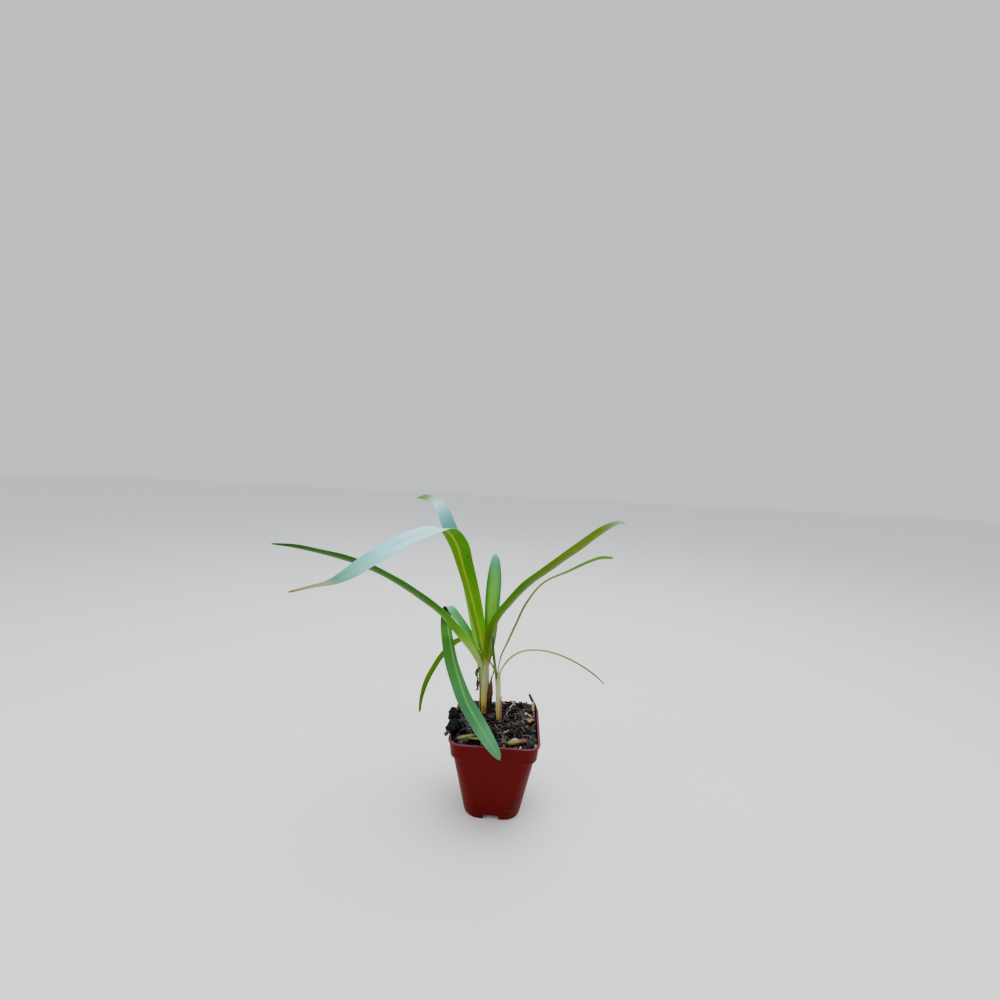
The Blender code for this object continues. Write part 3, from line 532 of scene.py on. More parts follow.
def scatter_chips(name, count, seed, long_range, wide_range, thin_range, rows, sides, tilt, material,
                  tint_power, lift):
    """Hundreds of chips on the compost: each one scaled, tapered, roughened, turned and seated."""
    draw = np.random.default_rng(seed)
    unit, faces = chip_shape(rows, sides)
    length = draw.uniform(*long_range, count)
    half = np.stack([length, draw.uniform(*wide_range, count), draw.uniform(*thin_range, count)], -1) / 2
    x = draw.uniform(-1, 1, count) * (SOIL_HALF - 0.35 * length)
    y = draw.uniform(-1, 1, count) * (SOIL_HALF - 0.35 * length)
    corner = np.maximum(np.abs(x) + np.abs(y) - (2 * SOIL_HALF - 0.62 * SOIL_RADIUS), 0)
    x -= np.sign(x) * corner
    y -= np.sign(y) * corner
    for stem in (MAIN_STEM, SIDE_SHOOT):
        away = np.stack([x - stem["base"][0], y - stem["base"][1]])
        distance = np.maximum(np.linalg.norm(away, axis=0), 0.01)
        push = np.maximum(stem["clear"] + 0.35 * length - distance, 0) / distance
        x += away[0] * push
        y += away[1] * push
    taper, bow = draw.uniform(-0.45, 0.45, (2, count, 1))
    shape = unit[None] * half[:, None]
    share = unit[None, :, 0]
    shape[..., 1] *= 1 + taper * share
    shape[..., 2] = shape[..., 2] * (1 - 0.5 * taper * share) + 0.25 * bow * share**2 * half[:, 1:2]
    shape *= 1 + draw.normal(0, 0.09, (count, len(unit), 1))
    heading = draw.uniform(0, 2 * math.pi, (count, 1))
    pitch = draw.normal(0, math.radians(tilt), (count, 1))
    roll = draw.normal(0, math.radians(tilt), (count, 1))
    a, b, c = shape[..., 0], shape[..., 1], shape[..., 2]
    b, c = turned(b, c, roll)
    a, c = turned(a, c, pitch)
    a, b = turned(a, b, heading)
    z = soil_height(x, y)[:, None] + c + lift * half[:, 2:3]
    # A chip that stands clear of the lip may overhang it a little
    limit = np.where(z > CLEAR_OF_LIP_Z, OVERHANG_HALF, INSIDE_HALF)
    points = np.stack([np.clip(x[:, None] + a, -limit, limit), np.clip(y[:, None] + b, -limit, limit), z],
                      axis=-1)
    shifts = (np.arange(count) * len(unit)).tolist()
    all_faces = [[k + shift for k in face] for shift in shifts for face in faces]
    tints = np.repeat(draw.uniform(0, 1, count) ** tint_power, len(unit))
    return mesh_piece(name, points.reshape(-1, 3), all_faces, material, "bark_compost", sharp=35.0,
                      tint=tints)


def tube_shape(path, radii, sides=8):
    """A tube round a path: rings square to it, closed at both ends."""
    path = np.asarray(path, float)
    radii = np.broadcast_to(radii, len(path))
    along = np.gradient(path, axis=0)
    along /= np.maximum(np.linalg.norm(along, axis=1, keepdims=True), 1e-9)
    first = np.cross(along, [0.21, 0.37, 0.9])
    first /= np.linalg.norm(first, axis=1, keepdims=True)
    second = np.cross(along, first)
    angle = np.arange(sides) * 2 * math.pi / sides
    ring = np.cos(angle)[None, :, None] * first[:, None] + np.sin(angle)[None, :, None] * second[:, None]
    points = (path[:, None] + radii[:, None, None] * ring).reshape(-1, 3)
    return points, tube_faces(len(path), sides)


def scatter_fibres(name, count, seed, material):
    """Dry roots and fibres: arcs of a slowly turning heading, draped on the compost's height."""
    draw = np.random.default_rng(seed)
    shapes = []
    for _ in range(count):
        steps = 12
        length = draw.uniform(4, 15)
        heading = draw.uniform(0, 2 * math.pi) + np.cumsum(draw.normal(0, 0.16, steps)) \
            + np.linspace(0, draw.normal(0, 0.9), steps)
        start = draw.uniform(-28, 28, 2)
        x = start[0] + np.cumsum(np.cos(heading)) * length / steps
        y = start[1] + np.cumsum(np.sin(heading)) * length / steps
        limit = SOIL_HALF - 0.6
        x, y = np.clip(x, -limit, limit), np.clip(y, -limit, limit)
        ground = soil_height(x, y)
        ground = np.convolve(np.pad(ground, 2, mode="edge"), np.ones(5) / 5, mode="valid")
        arch = draw.uniform(0.1, 1.3) * np.sin(np.linspace(0, math.pi, steps))
        radius = draw.uniform(0.14, 0.36) * (1 - 0.5 * np.linspace(0, 1, steps) ** 2)
        points, faces = tube_shape(np.stack([x, y, ground + 0.35 + arch], -1), radius, 5)
        shapes.append((points, faces, np.full(len(points), draw.uniform(0, 1))))
    points, faces, tint = merge_shapes(shapes)
    return mesh_piece(name, points, faces, material, "dry_fibre_tan", tint=tint)


def dense_curve(stations):
    """Catmull-Rom curve through the stations' rows, and the length along it."""
    rows = np.asarray(stations, float)
    steps = np.linalg.norm(np.diff(rows[:, :3], axis=0), axis=1)
    knots = np.concatenate([[0], np.cumsum(np.sqrt(steps))])
    slopes = np.gradient(rows, knots, axis=0)
    fine = np.linspace(0, knots[-1], 60 * len(rows))
    cell = np.clip(np.searchsorted(knots, fine, side="right") - 1, 0, len(rows) - 2)
    width = knots[cell + 1] - knots[cell]
    part = ((fine - knots[cell]) / width)[:, None]
    width = width[:, None]
    curve = ((2 * part**3 - 3 * part**2 + 1) * rows[cell]
             + (part**3 - 2 * part**2 + part) * width * slopes[cell]
             + (3 * part**2 - 2 * part**3) * rows[cell + 1]
             + (part**3 - part**2) * width * slopes[cell + 1])
    length = np.concatenate([[0], np.cumsum(np.linalg.norm(np.diff(curve[:, :3], axis=0), axis=1))])
    return curve, length


def sheath_stations(stem, ring, azimuth, span, heading, mouth):
    """Stations of a half sheath wrapped round a stem axis, close together at its mouth."""
    base, lean = stem["base"], stem["lean"]
    radius = stem["core"] + ring * SHEATH_PITCH
    outward = np.array([math.cos(math.radians(azimuth)), math.sin(math.radians(azimuth)), 0.0])
    heights = (base[2], (base[2] + mouth) / 2, mouth - 8, mouth - 2.5, mouth)
    rows = []
    for z, swell in zip(heights, (FOOT_OF_STEM, 1.0, 1.0, 1.0, 1.0)):
        half = radius * swell * math.radians(span)
        place = base + lean * (z - base[2]) + outward * radius * swell
        rows.append((*place, half, span, azimuth - heading))
    return rows


def leaf_piece(name, stations, heading, material, slot, free_from, columns, seed, spacing=1.4,
               thick=LEAF_THICK, rib=0.0, ripple=0.1, crumple=0.0, stands_for=None):
    """A channelled strap leaf as one closed surface, its free part starting free_from mm along it.

    The keel is the curve through the stations. Across it the section is an
    arc of the stated half width that turns through twice the cup angle. The
    wall thins from the middle to 0.4 of its thickness at the edges, the outer
    face has a rib along the keel, the inner face a shallow groove, and both
    faces ripple a little where the blade is free of its sheath. The last
    millimetres narrow as a quarter circle to a round tip.
    """
    curve, length = dense_curve(stations)
    total = length[-1]
    tip = 2.5
    body = np.linspace(0, total - tip, max(int(total / spacing), 8))
    end = total - tip + tip * np.sin(np.linspace(0, math.pi / 2, 9)[1:])
    distance = np.concatenate([body, end])
    data = np.column_stack([np.interp(distance, length, column) for column in curve.T])
    keel, half, twist = data[:, :3], np.maximum(data[:, 3], 0.3), np.radians(data[:, 5])
    cup = np.radians(np.maximum(data[:, 4], 2.0))
    round_off = np.sqrt(np.clip(1 - (1 - np.minimum((total - distance) / tip, 1)) ** 2, 0.004, 1))
    half = half * round_off
    along = np.gradient(keel, distance, axis=0)
    along /= np.linalg.norm(along, axis=1, keepdims=True)
    azimuth = math.radians(heading)
    level = np.array([-math.sin(azimuth), math.cos(azimuth), 0.0])
    level = level - (along @ level)[:, None] * along
    level /= np.linalg.norm(level, axis=1, keepdims=True)
    inner = np.cross(along, level)
    turn, lift = np.cos(twist)[:, None], np.sin(twist)[:, None]
    across, inner = level * turn + inner * lift, inner * turn - level * lift
    share = np.sin(np.linspace(-math.pi / 2, math.pi / 2, columns))
    angle = cup[:, None] * share
    outward = across[:, None] * np.sin(angle)[..., None] - inner[:, None] * np.cos(angle)[..., None]
    radius = (half / cup)[:, None, None]
    middle = keel[:, None] + inner[:, None] * radius + outward * radius
    free = smooth(distance, free_from, free_from + 14)[:, None]
    wall = thick / 2 * (0.4 + 0.6 * np.sqrt(1 - share**2)) * np.minimum(1, 0.25 + round_off)[:, None]
    width_mm = half[:, None] * share
    keel_bump = np.exp(-(width_mm / 0.7) ** 2) * free * np.minimum(1, half / 3)[:, None]
    draw = np.random.default_rng(seed)
    phase = draw.uniform(0, 2 * math.pi, 4)
    wave = (np.sin(distance / 9.3 + phase[0]) + 0.6 * np.sin(distance / 4.1 + phase[1]))[:, None] * share**3 \
        + (np.sin(distance / 6.7 + phase[2]))[:, None] * (share**2 - 0.4)
    wave = wave * ripple * free * round_off[:, None]
    if crumple:
        wave = wave + crumple * (np.sin(distance[:, None] / 1.3 + 5 * share + phase[3])
                                 * np.cos(4 * share + distance[:, None] / 2.9))
    outer_face = middle + outward * (wall + rib * keel_bump + wave)[..., None]
    inner_face = middle - outward * (wall - 0.6 * rib * keel_bump - wave)[..., None]
    section = np.concatenate([outer_face, inner_face[:, ::-1]], axis=1)
    rows, around = section.shape[:2]
    faces = grid_quads(rows, around, wrap=True).tolist()
    last = (rows - 1) * around
    for k in range(columns - 1):
        opposite = around - 1 - k
        faces.append([k, opposite, opposite - 1, k + 1])
        faces.append([last + k, last + k + 1, last + opposite - 1, last + opposite])
    side = np.concatenate([np.zeros(columns), np.ones(columns)])
    across_values = np.concatenate([share, share[::-1]])
    shape = (rows, around)
    if stands_for is None:
        stands_for = [name.removesuffix("_blade")]
    return mesh_piece(name, section.reshape(-1, 3), faces, material, slot, stands_for,
                      across=np.broadcast_to(across_values, shape),
                      along=np.broadcast_to(distance[:, None], shape),
                      inner=np.broadcast_to(side, shape),
                      width=np.broadcast_to(half[:, None], shape))


def leaf_tissue(name, outer, inner, midrib, midrib_strength=0.6, margin="A8B070", margin_strength=0.25,
                flanks=(), total=260.0, roughness=0.42, stain=None, rib_path=None, fleck=None):
    """Living strap leaf: a thin waxy cuticle over green tissue with fine parallel veins.

    The wax gives a soft satin gloss, and a little light passes into the
    tissue. outer and inner are colour stops in mm from the leaf's base for
    the two faces. Each flank is (colour, from, to, strength, fade from, fade
    to): it grows between two shares of the half width and fades between two
    lengths in mm. stain is the colour and reach of dead blotches at the base,
    rib_path shifts the midrib off the middle, as stops of (mm, share of the
    half width), and fleck is the place of one small dark scar.
    """
    material, tree, shader = new_material(name, roughness, 1.42, 0.08)
    shader.inputs["Subsurface Weight"].default_value = 0.12
    shader.inputs["Subsurface Radius"].default_value = (0.6, 1.0, 0.3)
    shader.inputs["Subsurface Scale"].default_value = 0.6 * MILLIMETRE
    along, across, side, width = [add_node(tree, "Attribute", out="Fac", attribute_name=key)
                                  for key in ("along", "across", "inner", "width")]
    place = add_node(tree, "TexCoord", out="Object")
    share = add_node(tree, "Math", {0: along, 1: total}, operation="DIVIDE")
    outer_colour, inner_colour = [add_node(tree, "ValToRGB", {0: share}) for _ in (outer, inner)]
    set_stops(outer_colour, outer, total)
    set_stops(inner_colour, inner, total)
    colour = add_node(tree, "Mix", {0: side, 6: outer_colour, 7: inner_colour}, 2, data_type="RGBA")
    for code, start, stop, strength, fade_from, fade_to in flanks:
        edge = add_node(tree, "MapRange", {0: across, 1: start, 2: stop, 3: 0.0, 4: strength},
                        interpolation_type="SMOOTHSTEP")
        colour = tint_where(tree, colour, code, along, fade_from, fade_to, edge, 0.0, "SMOOTHSTEP")
    off_middle = add_node(tree, "Math", {0: across}, operation="ABSOLUTE")
    off_rib = off_middle
    if rib_path:
        shift = add_node(tree, "FloatCurve", {"Value": share})
        mapping = shift.node.mapping
        points = mapping.curves[0].points
        while len(points) < len(rib_path):
            points.new(0.5, 0.0)
        for point, (mm, centre) in zip(points, rib_path):
            point.location = (mm / total, centre)
        mapping.clip_min_y = -1
        mapping.update()
        moved = add_node(tree, "Math", {0: across, 1: shift}, operation="SUBTRACT")
        off_rib = add_node(tree, "Math", {0: moved}, operation="ABSOLUTE")
    # The rib stands out on the outer face and shows faintly on the inner one
    rib = add_node(tree, "MapRange", {0: side, 1: 0.0, 2: 1.0, 3: midrib_strength, 4: midrib_strength / 4})
    colour = tint_where(tree, colour, midrib, off_rib, 0.05, 0.22, rib, 0.0, "SMOOTHSTEP")
    colour = tint_where(tree, colour, margin, off_middle, 0.93, 0.995, 0.0, margin_strength, "SMOOTHSTEP")
    if stain:
        code, mm = stain
        blotch = add_node(tree, "TexNoise", {"Vector": place, "Scale": grains(6.25), "Detail": 3.0})
        low = add_node(tree, "MapRange", {0: along, 1: mm * 0.3, 2: mm, 3: 0.95, 4: 0.0})
        colour = tint_where(tree, colour, code, blotch, 0.42, 0.62, 0.0, low)
    if fleck:
        away = add_node(tree, "VectorMath", {0: place, 1: fleck}, "Value", operation="DISTANCE")
        outside = add_node(tree, "MapRange", {0: side, 1: 0.0, 2: 1.0, 3: 0.75, 4: 0.0})
        colour = tint_where(tree, colour, "1E3A08", away, 0.4 * MILLIMETRE, 1.2 * MILLIMETRE, outside, 0.0)
    # Parallel veins, about 0.6 mm apart across the leaf and drawn out along it
    across_mm = add_node(tree, "Math", {0: across, 1: width}, operation="MULTIPLY")
    lane = add_node(tree, "Math", {0: across_mm, 1: VEIN_PITCH}, operation="DIVIDE")
    drawn = add_node(tree, "Math", {0: along, 1: VEIN_LENGTH}, operation="DIVIDE")
    lanes = add_node(tree, "CombineXYZ", {0: lane, 1: drawn, 2: side})
    veins = add_node(tree, "TexNoise", {"Vector": lanes, "Scale": 1.0, "Detail": 3.0, "Roughness": 0.6})
    cloud = add_node(tree, "TexNoise", {"Vector": place, "Scale": grains(18.2), "Detail": 2.0})
    vein_shade = add_node(tree, "MapRange", {0: veins, 1: 0.3, 2: 0.7, 3: 0.86, 4: 1.14})
    cloud_shade = add_node(tree, "MapRange", {0: cloud, 1: 0.3, 2: 0.7, 3: 0.9, 4: 1.1})
    shade = add_node(tree, "Math", {0: vein_shade, 1: cloud_shade}, operation="MULTIPLY")
    colour = add_node(tree, "Mix", {0: 1.0, 6: colour, 7: shade}, 2, data_type="RGBA", blend_type="MULTIPLY")
    coat(tree, colour, veins, 0.35, 0.12)
    return material


def dead_tissue(name, dark, light, roughness=0.8, streak_mm=3.85, dark_below=None):
    """Dead papery tissue: matt, streaked along its fibres; the last argument is a height range below which it
    turns near-black.
    """
    material, tree, _ = new_material(name, roughness)
    place = add_node(tree, "TexCoord", out="Object")
    stretched = add_node(tree, "Mapping", {"Vector": place, "Scale": (1.0, 1.0, 0.22)})
    streak = add_node(tree, "TexNoise", {"Vector": stretched, "Scale": grains(streak_mm), "Detail": 4.0})
    colour = add_node(tree, "ValToRGB", {0: streak})
    set_stops(colour, [(0.36, dark), (0.66, light)])
    if dark_below:
        height = add_node(tree, "SeparateXYZ", {0: place}, "Z")
        # The streaks lift the height by up to 20 mm, half of it on average, so the edge of the dark part is
        # ragged
        ragged = add_node(tree, "Math", {0: streak, 1: 0.02, 2: height}, operation="MULTIPLY_ADD")
        colour = tint_where(tree, colour, "0E0705", ragged, dark_below[0] + 0.01, dark_below[1] + 0.01, 0.9, 0.0)
    fine = add_node(tree, "TexNoise", {"Vector": stretched, "Scale": grains(streak_mm / 6), "Detail": 3.0})
    coat(tree, colour, fine, 0.5, 0.2)
    return material


def stub_tissue(name, stops):
    """Cut plant stem, drying and matt: stops are its colours from one end to the other, with a wobble."""
    material, tree, _ = new_material(name, 0.55)
    place = add_node(tree, "TexCoord", out="Object")
    share = add_node(tree, "Attribute", out="Fac", attribute_name="share")
    wobble = add_node(tree, "TexNoise", {"Vector": place, "Scale": grains(2.38), "Detail": 3.0})
    shift = add_node(tree, "MapRange", {0: wobble, 1: 0.3, 2: 0.7, 3: -0.14, 4: 0.14})
    read = add_node(tree, "Math", {0: share, 1: shift}, operation="ADD")
    colour = add_node(tree, "ValToRGB", {0: read})
    set_stops(colour, stops)
    coat(tree, colour, wobble, 0.4, 0.3)
    return material


def grow_leaf(node, stem, ring, azimuth, span, heading, mouth, seed, free, slot="leaf_green", spacing=1.4,
              columns=21, rib=0.2, ripple=0.12, **tissue):
    """A living leaf: its half sheath round a stem, then its free stations, in a tissue of its own.

    It ripples from 4 mm above the sheath's mouth on.
    """
    rows = sheath_stations(stem, ring, azimuth, span, heading, mouth) + free
    last_stop = max(tissue["outer"][-1][0], tissue["inner"][-1][0])
    total = max(dense_curve(rows)[1][-1], last_stop)
    material = leaf_tissue("waxy_" + node, total=total, **tissue)
    leaf_piece(node + "_blade", rows, heading, material, slot, mouth - CROWN_Z + 4, columns, seed, spacing,
               rib=rib, ripple=ripple)


def worn_bar(name, centre, turn, length, width, height, material, slot, tilt=0.0, floor=None, rough=0.06,
             seed=3, rows=36, sides=28):
    """A stub or lump laid on the compost: an oval bar whose radius swells and is pitted by sine waves."""
    share = -np.cos(np.linspace(0, math.pi, rows)) * 0.995
    swell = np.interp(share, [-1.0, -0.97, -0.92, -0.3, 0.35, 0.9, 0.97, 1.0],
                      [0.25, 0.62, 0.9, 1.0, 0.92, 0.8, 0.6, 0.2])
    angle = np.arange(sides) * 2 * math.pi / sides
    way = np.array([math.cos(math.radians(turn)), math.sin(math.radians(turn)), 0.0])
    side = np.array([-way[1], way[0], 0.0])
    up = np.array([0.0, 0.0, 1.0])
    phase = np.random.default_rng(seed).uniform(0, 6, 4)
    pits = (np.sin(3 * angle + 5 * share[:, None] + phase[0])
            + 0.7 * np.sin(5 * angle - 9 * share[:, None] + phase[1])
            + 0.5 * np.sin(2 * angle + 17 * share[:, None] + phase[2])
            + 0.4 * np.sin(9 * angle + 23 * share[:, None] + phase[3]))
    fine = np.sin(13 * angle + 31 * share[:, None] + phase[0]) * np.sin(7 * angle - 41 * share[:, None])
    size = swell[:, None] * (1 + rough * pits + 0.35 * rough * fine)
    points = (share[:, None, None] * (way * length / 2 + up * tilt)
              + size[..., None] * (np.cos(angle)[None, :, None] * side * width / 2
                                   + np.sin(angle)[None, :, None] * up * height / 2))
    points = points + np.array([centre[0], centre[1], 0.0])
    seat = seat_height(centre, way, length, width) if floor is None else floor
    points[..., 2] += seat + GAP - points[..., 2].min()
    return mesh_piece(name + "_worn", points.reshape(-1, 3), tube_faces(rows, sides), material, slot, [name],
                      share=np.repeat(share / 2 + 0.5, sides), tint=np.full(rows * sides, BAR_TINT))


stage_setup()
build_pot(polypropylene())

# Bark chips: the bluish-grey stop at 0.87 is a painted glint of sky on wet chips
BARK = compost("damp_composted_bark", [(0.0, "050404"), (0.4, "0E0A09"), (0.56, "281B17"), (0.7, "4E3A34"),
                                       (0.8, "765C54"), (0.87, "3E4A60"), (0.94, "96786C"),
                                       (1.0, "D4BCA4")], 0.6)
WET_BARK = compost("wet_black_bark", [(0.0, "020202"), (0.6, "080709"), (0.85, "16131A"), (1.0, "34313E")],
                   0.34, 0.4)
FIBRE = compost("dry_root_fibre", [(0.0, "30241C"), (0.4, "665040"), (0.75, "9A8062"), (1.0, "C4AE8C")], 0.75)

# The bed takes the near-black end of the wet bark: dark compost, darkened further as painted shade in the
# gaps between chips
build_compost_bed(WET_BARK)
# Name, count, seed, ranges of length, width and thickness in mm, rings, sides, tilt in degrees, material,
# power that darkens the tints, and lift in half thicknesses
CHIPS = [("bark_chips_large", 280, 21, (3.5, 10.5), (1.0, 2.7), (0.6, 1.4), 7, 10, 24, BARK, 1.35, 0.5),
         ("bark_chips_wet", 330, 22, (2.5, 8.5), (1.3, 3.8), (0.8, 2.3), 7, 10, 28, WET_BARK, 0.8, 0.55),
         ("bark_chips_small", 520, 23, (1.0, 3.4), (0.6, 1.6), (0.4, 1.1), 4, 7, 30, BARK, 1.25, 0.9),
         ("compost_crumbs", 1300, 24, (0.5, 1.3), (0.4, 1.0), (0.4, 0.9), 3, 6, 40, BARK, 1.7, 1.4)]
for chips in CHIPS:
    scatter_chips(*chips)
scatter_fibres("dry_root_fibres", 70, 25, FIBRE)

# Roots and straws that stand out, as (x, y) points in mm with their radius and tint
STRAWS = [([(-1.0, 0.3), (0.9, -4.7), (4.4, -9.8), (8.6, -13.8)], 0.42, 0.6),
          ([(10.0, 20.0), (13.2, 25.1), (18.6, 30.2), (22.7, 30.7)], 0.62, 0.85),
          ([(14.0, 15.0), (19.3, 15.4), (22.8, 13.9), (26.7, 10.4), (30.2, 6.0)], 0.55, 0.55),
          ([(4.7, -14.4), (7.3, -21.7), (9.1, -28.1)], 0.35, 0.35),
          ([(12.1, 1.8), (20.2, -5.4), (24.1, -12.1)], 0.4, 0.45),
          ([(20.0, 31.2), (26.0, 30.6), (31.4, 27.0)], 0.45, 0.5)]
straw_shapes = []
for route, thick, shade in STRAWS:
    line = dense_curve([(x, y, 0, 0) for x, y in route])[0][::12, :3]
    # Laid partly along the surface, partly over the highest compost still ahead
    ground = soil_height(line[:, 0], line[:, 1])
    line[:, 2] = np.maximum.accumulate(ground[::-1])[::-1] * 0.4 + ground * 0.6 + 1.1
    tube, sides = tube_shape(line, thick * (1 - 0.4 * np.linspace(0, 1, len(line))), 7)
    straw_shapes.append((tube, sides, np.full(len(tube), shade)))
tube, sides, shade = merge_shapes(straw_shapes)
mesh_piece("straws_and_roots", tube, sides, FIBRE, "dry_fibre_tan", tint=shade)

SHEATH_PALE, SHEATH_OCHRE = "A5A884", "A8965A"
GRASSY = dict(columns=13, rib=0.08, ripple=0.05)

# Stations are (x, y, z, half width, cup angle, twist), in mm and degrees
grow_leaf(
    "leaf_low_left", MAIN_STEM, ring=3, azimuth=150, span=52, heading=150, mouth=84, slot="leaf_dark_green",
    seed=0,
    free=[(-17.6, 24.0, 97, 2.9, 36, 14), (-22.4, 26.0, 112, 2.8, 28, 34), (-28.6, 28, 121, 2.9, 24, 46),
          (-37.4, 29.4, 119.4, 2.9, 20, 50), (-49.8, 31, 106.2, 2.6, 20, 50),
          (-58.0, 33, 92.6, 2.4, 20, 50), (-64.2, 35, 79.2, 2.3, 20, 50), (-68.4, 37, 63.5, 1.7, 15, 40),
          (-70.0, 39, 48.3, 1.1, 10, 30)],
    outer=[(0, SHEATH_OCHRE), (30, "A0A660"), (60, "5E8C18"), (100, "4C7C06"), (130, "48740A"),
           (158, "4A6C14")],
    inner=[(0, SHEATH_OCHRE), (60, "5A8A10"), (158, "4A7210")],
    midrib="7A9C20", midrib_strength=0.3)
grow_leaf(
    "leaf_long_left", MAIN_STEM, ring=2, azimuth=205, span=48, heading=196, mouth=98, seed=1,
    free=[(-17.6, 15.0, 106, 4.6, 42, 24), (-24.4, 13.0, 118.8, 5.6, 34, 36),
          (-32.2, 11, 129.6, 6.1, 26, 39), (-47.2, 6, 148.6, 6.2, 20, 36), (-66, 0, 164.8, 6.2, 16, 35),
          (-83.9, -7, 178, 6.1, 14, 35), (-102.1, -14, 189, 5.8, 12, 35), (-119.4, -21, 196.5, 5.3, 12, 35),
          (-135.5, -28, 201.8, 4.6, 12, 35), (-152.7, -34, 206, 3.4, 12, 35),
          (-167, -39, 208, 0.8, 10, 35)],
    outer=[(0, "B8A250"), (24, "B7B55C"), (38, "A4AF5C"), (55, "92AE58"), (66, "82B040"), (80, "64A01E"),
           (94, "4A8810"), (112, "2E6604"), (157, "215A02"), (222, "1F5002"), (249, "1F4C02")],
    inner=[(0, SHEATH_PALE), (60, "9DB46E"), (90, "5E9A3C"), (260, "5E9A50")],
    midrib="3C7408", midrib_strength=0.3, flanks=[("8A7A28", -0.5, -0.97, 0.75, 150, 230)])
grow_leaf(
    "leaf_folded_front", MAIN_STEM, ring=2, azimuth=118, span=33, heading=165, mouth=93,
    slot="leaf_dark_green", seed=2, spacing=0.7,
    free=[(-16.4, 22.4, 104.5, 3.0, 38, -38), (-20.8, 23.0, 114.3, 3.6, 34, -32),
          (-28.3, 23.8, 128.6, 3.9, 26, -32), (-35.2, 25, 138.2, 3.9, 18, -28),
          (-40.7, 25.6, 144.7, 3.8, 12, -34), (-43.6, 26.8, 148.3, 3.6, 6, -28),
          (-45.6, 28.4, 149.6, 3.8, 4, 6), (-47.0, 28.9, 147.8, 4.1, 4, 66),
          (-47.8, 27.0, 142.8, 4.3, 6, 66), (-47.0, 22.0, 135.8, 4.6, 8, 52),
          (-43.3, 11.2, 124.7, 4.9, 12, 50), (-38.5, 2, 111.9, 5.3, 14, 64),
          (-31.7, -8, 100.5, 5.6, 14, 66), (-24.1, -18, 90.4, 5.9, 14, 67), (-16.2, -27, 83.6, 6.0, 12, 69),
          (-8.2, -35, 76.5, 5.6, 10, 72), (-2.1, -40, 70.8, 4.6, 8, 76), (2.4, -42.3, 65.8, 3.2, 6, 78),
          (5.4, -43.4, 61.3, 0.8, 5, 79)],
    # Outer face: the near-black stops from 100 to 115 mm are painted shade under the fold at the crest
    outer=[(0, SHEATH_OCHRE), (45, "7FAA4C"), (80, "4A8A3C"), (100, "1E3408"), (115, "1A2C06"),
           (123, "386E1F"), (142, "3F762C"), (165, "3C793B"), (194, "3B754C"), (221, "4B9161"),
           (234, "468A5B")],
    # Inner face: the teal stops from 91 to 98 mm are painted sky reflection, and the pale stops at 104 and
    # 108 mm a painted highlight on the crest
    inner=[(0, SHEATH_PALE), (50, "8CC84A"), (69, "83C941"), (80, "58A844"), (91, "52A05E"), (98, "4E9E6A"),
           (104, "68BC8C"), (108, "80C8A0"), (116, "5E9A70"), (234, "5C9C78")],
    midrib="62A84E", midrib_strength=0.65, margin="6FA880",
    rib_path=[(112, -0.3), (150, -0.4), (195, -0.1), (234, 0)])
grow_leaf(
    "leaf_right", MAIN_STEM, ring=2.2, azimuth=-62, span=70, heading=-8, mouth=104, seed=3,
    free=[(-10.1, 13.6, 116.2, 4.0, 50, -42), (-8.2, 11.0, 134, 4.9, 32, -40),
          (-2.6, 10.2, 149, 5.6, 24, -36), (5.6, 9, 160.9, 6.0, 18, -34), (19.3, 7, 177.8, 6.1, 14, -34),
          (37.3, 3, 193.8, 5.9, 12, -38), (58.1, -2, 212.2, 5.4, 12, -40), (71.4, -5, 224, 4.8, 12, -42),
          (80.6, -7.5, 230.7, 3.8, 12, -42), (86.6, -9.2, 233.2, 2.5, 10, -42),
          (91, -10, 232, 0.7, 8, -42)],
    # On both faces the pale blue-green stops from 221 mm to the tip are painted sky reflection
    outer=[(0, "C0A050"), (18, "C5B65C"), (36, "B5B98C"), (50, "A8B078"), (55, "8A983E"), (58, "66800E"),
           (66, "58700C"), (78, "466204"), (93, "457402"), (126, "3F6F03"), (160, "56760C"),
           (190, "5E7812"), (205, "5C760C"), (215, "6E9050"), (221, "88B496"), (226, "A8CCC4")],
    inner=[(0, SHEATH_PALE), (60, "6E9C28"), (200, "7FB07A"), (226, "A8CCC4")],
    midrib="5E7A10", midrib_strength=0.25, margin_strength=0.1, stain=("7A3C22", 26),
    flanks=[("7A6C18", 0.2, 0.9, 0.8, 205, 220)])
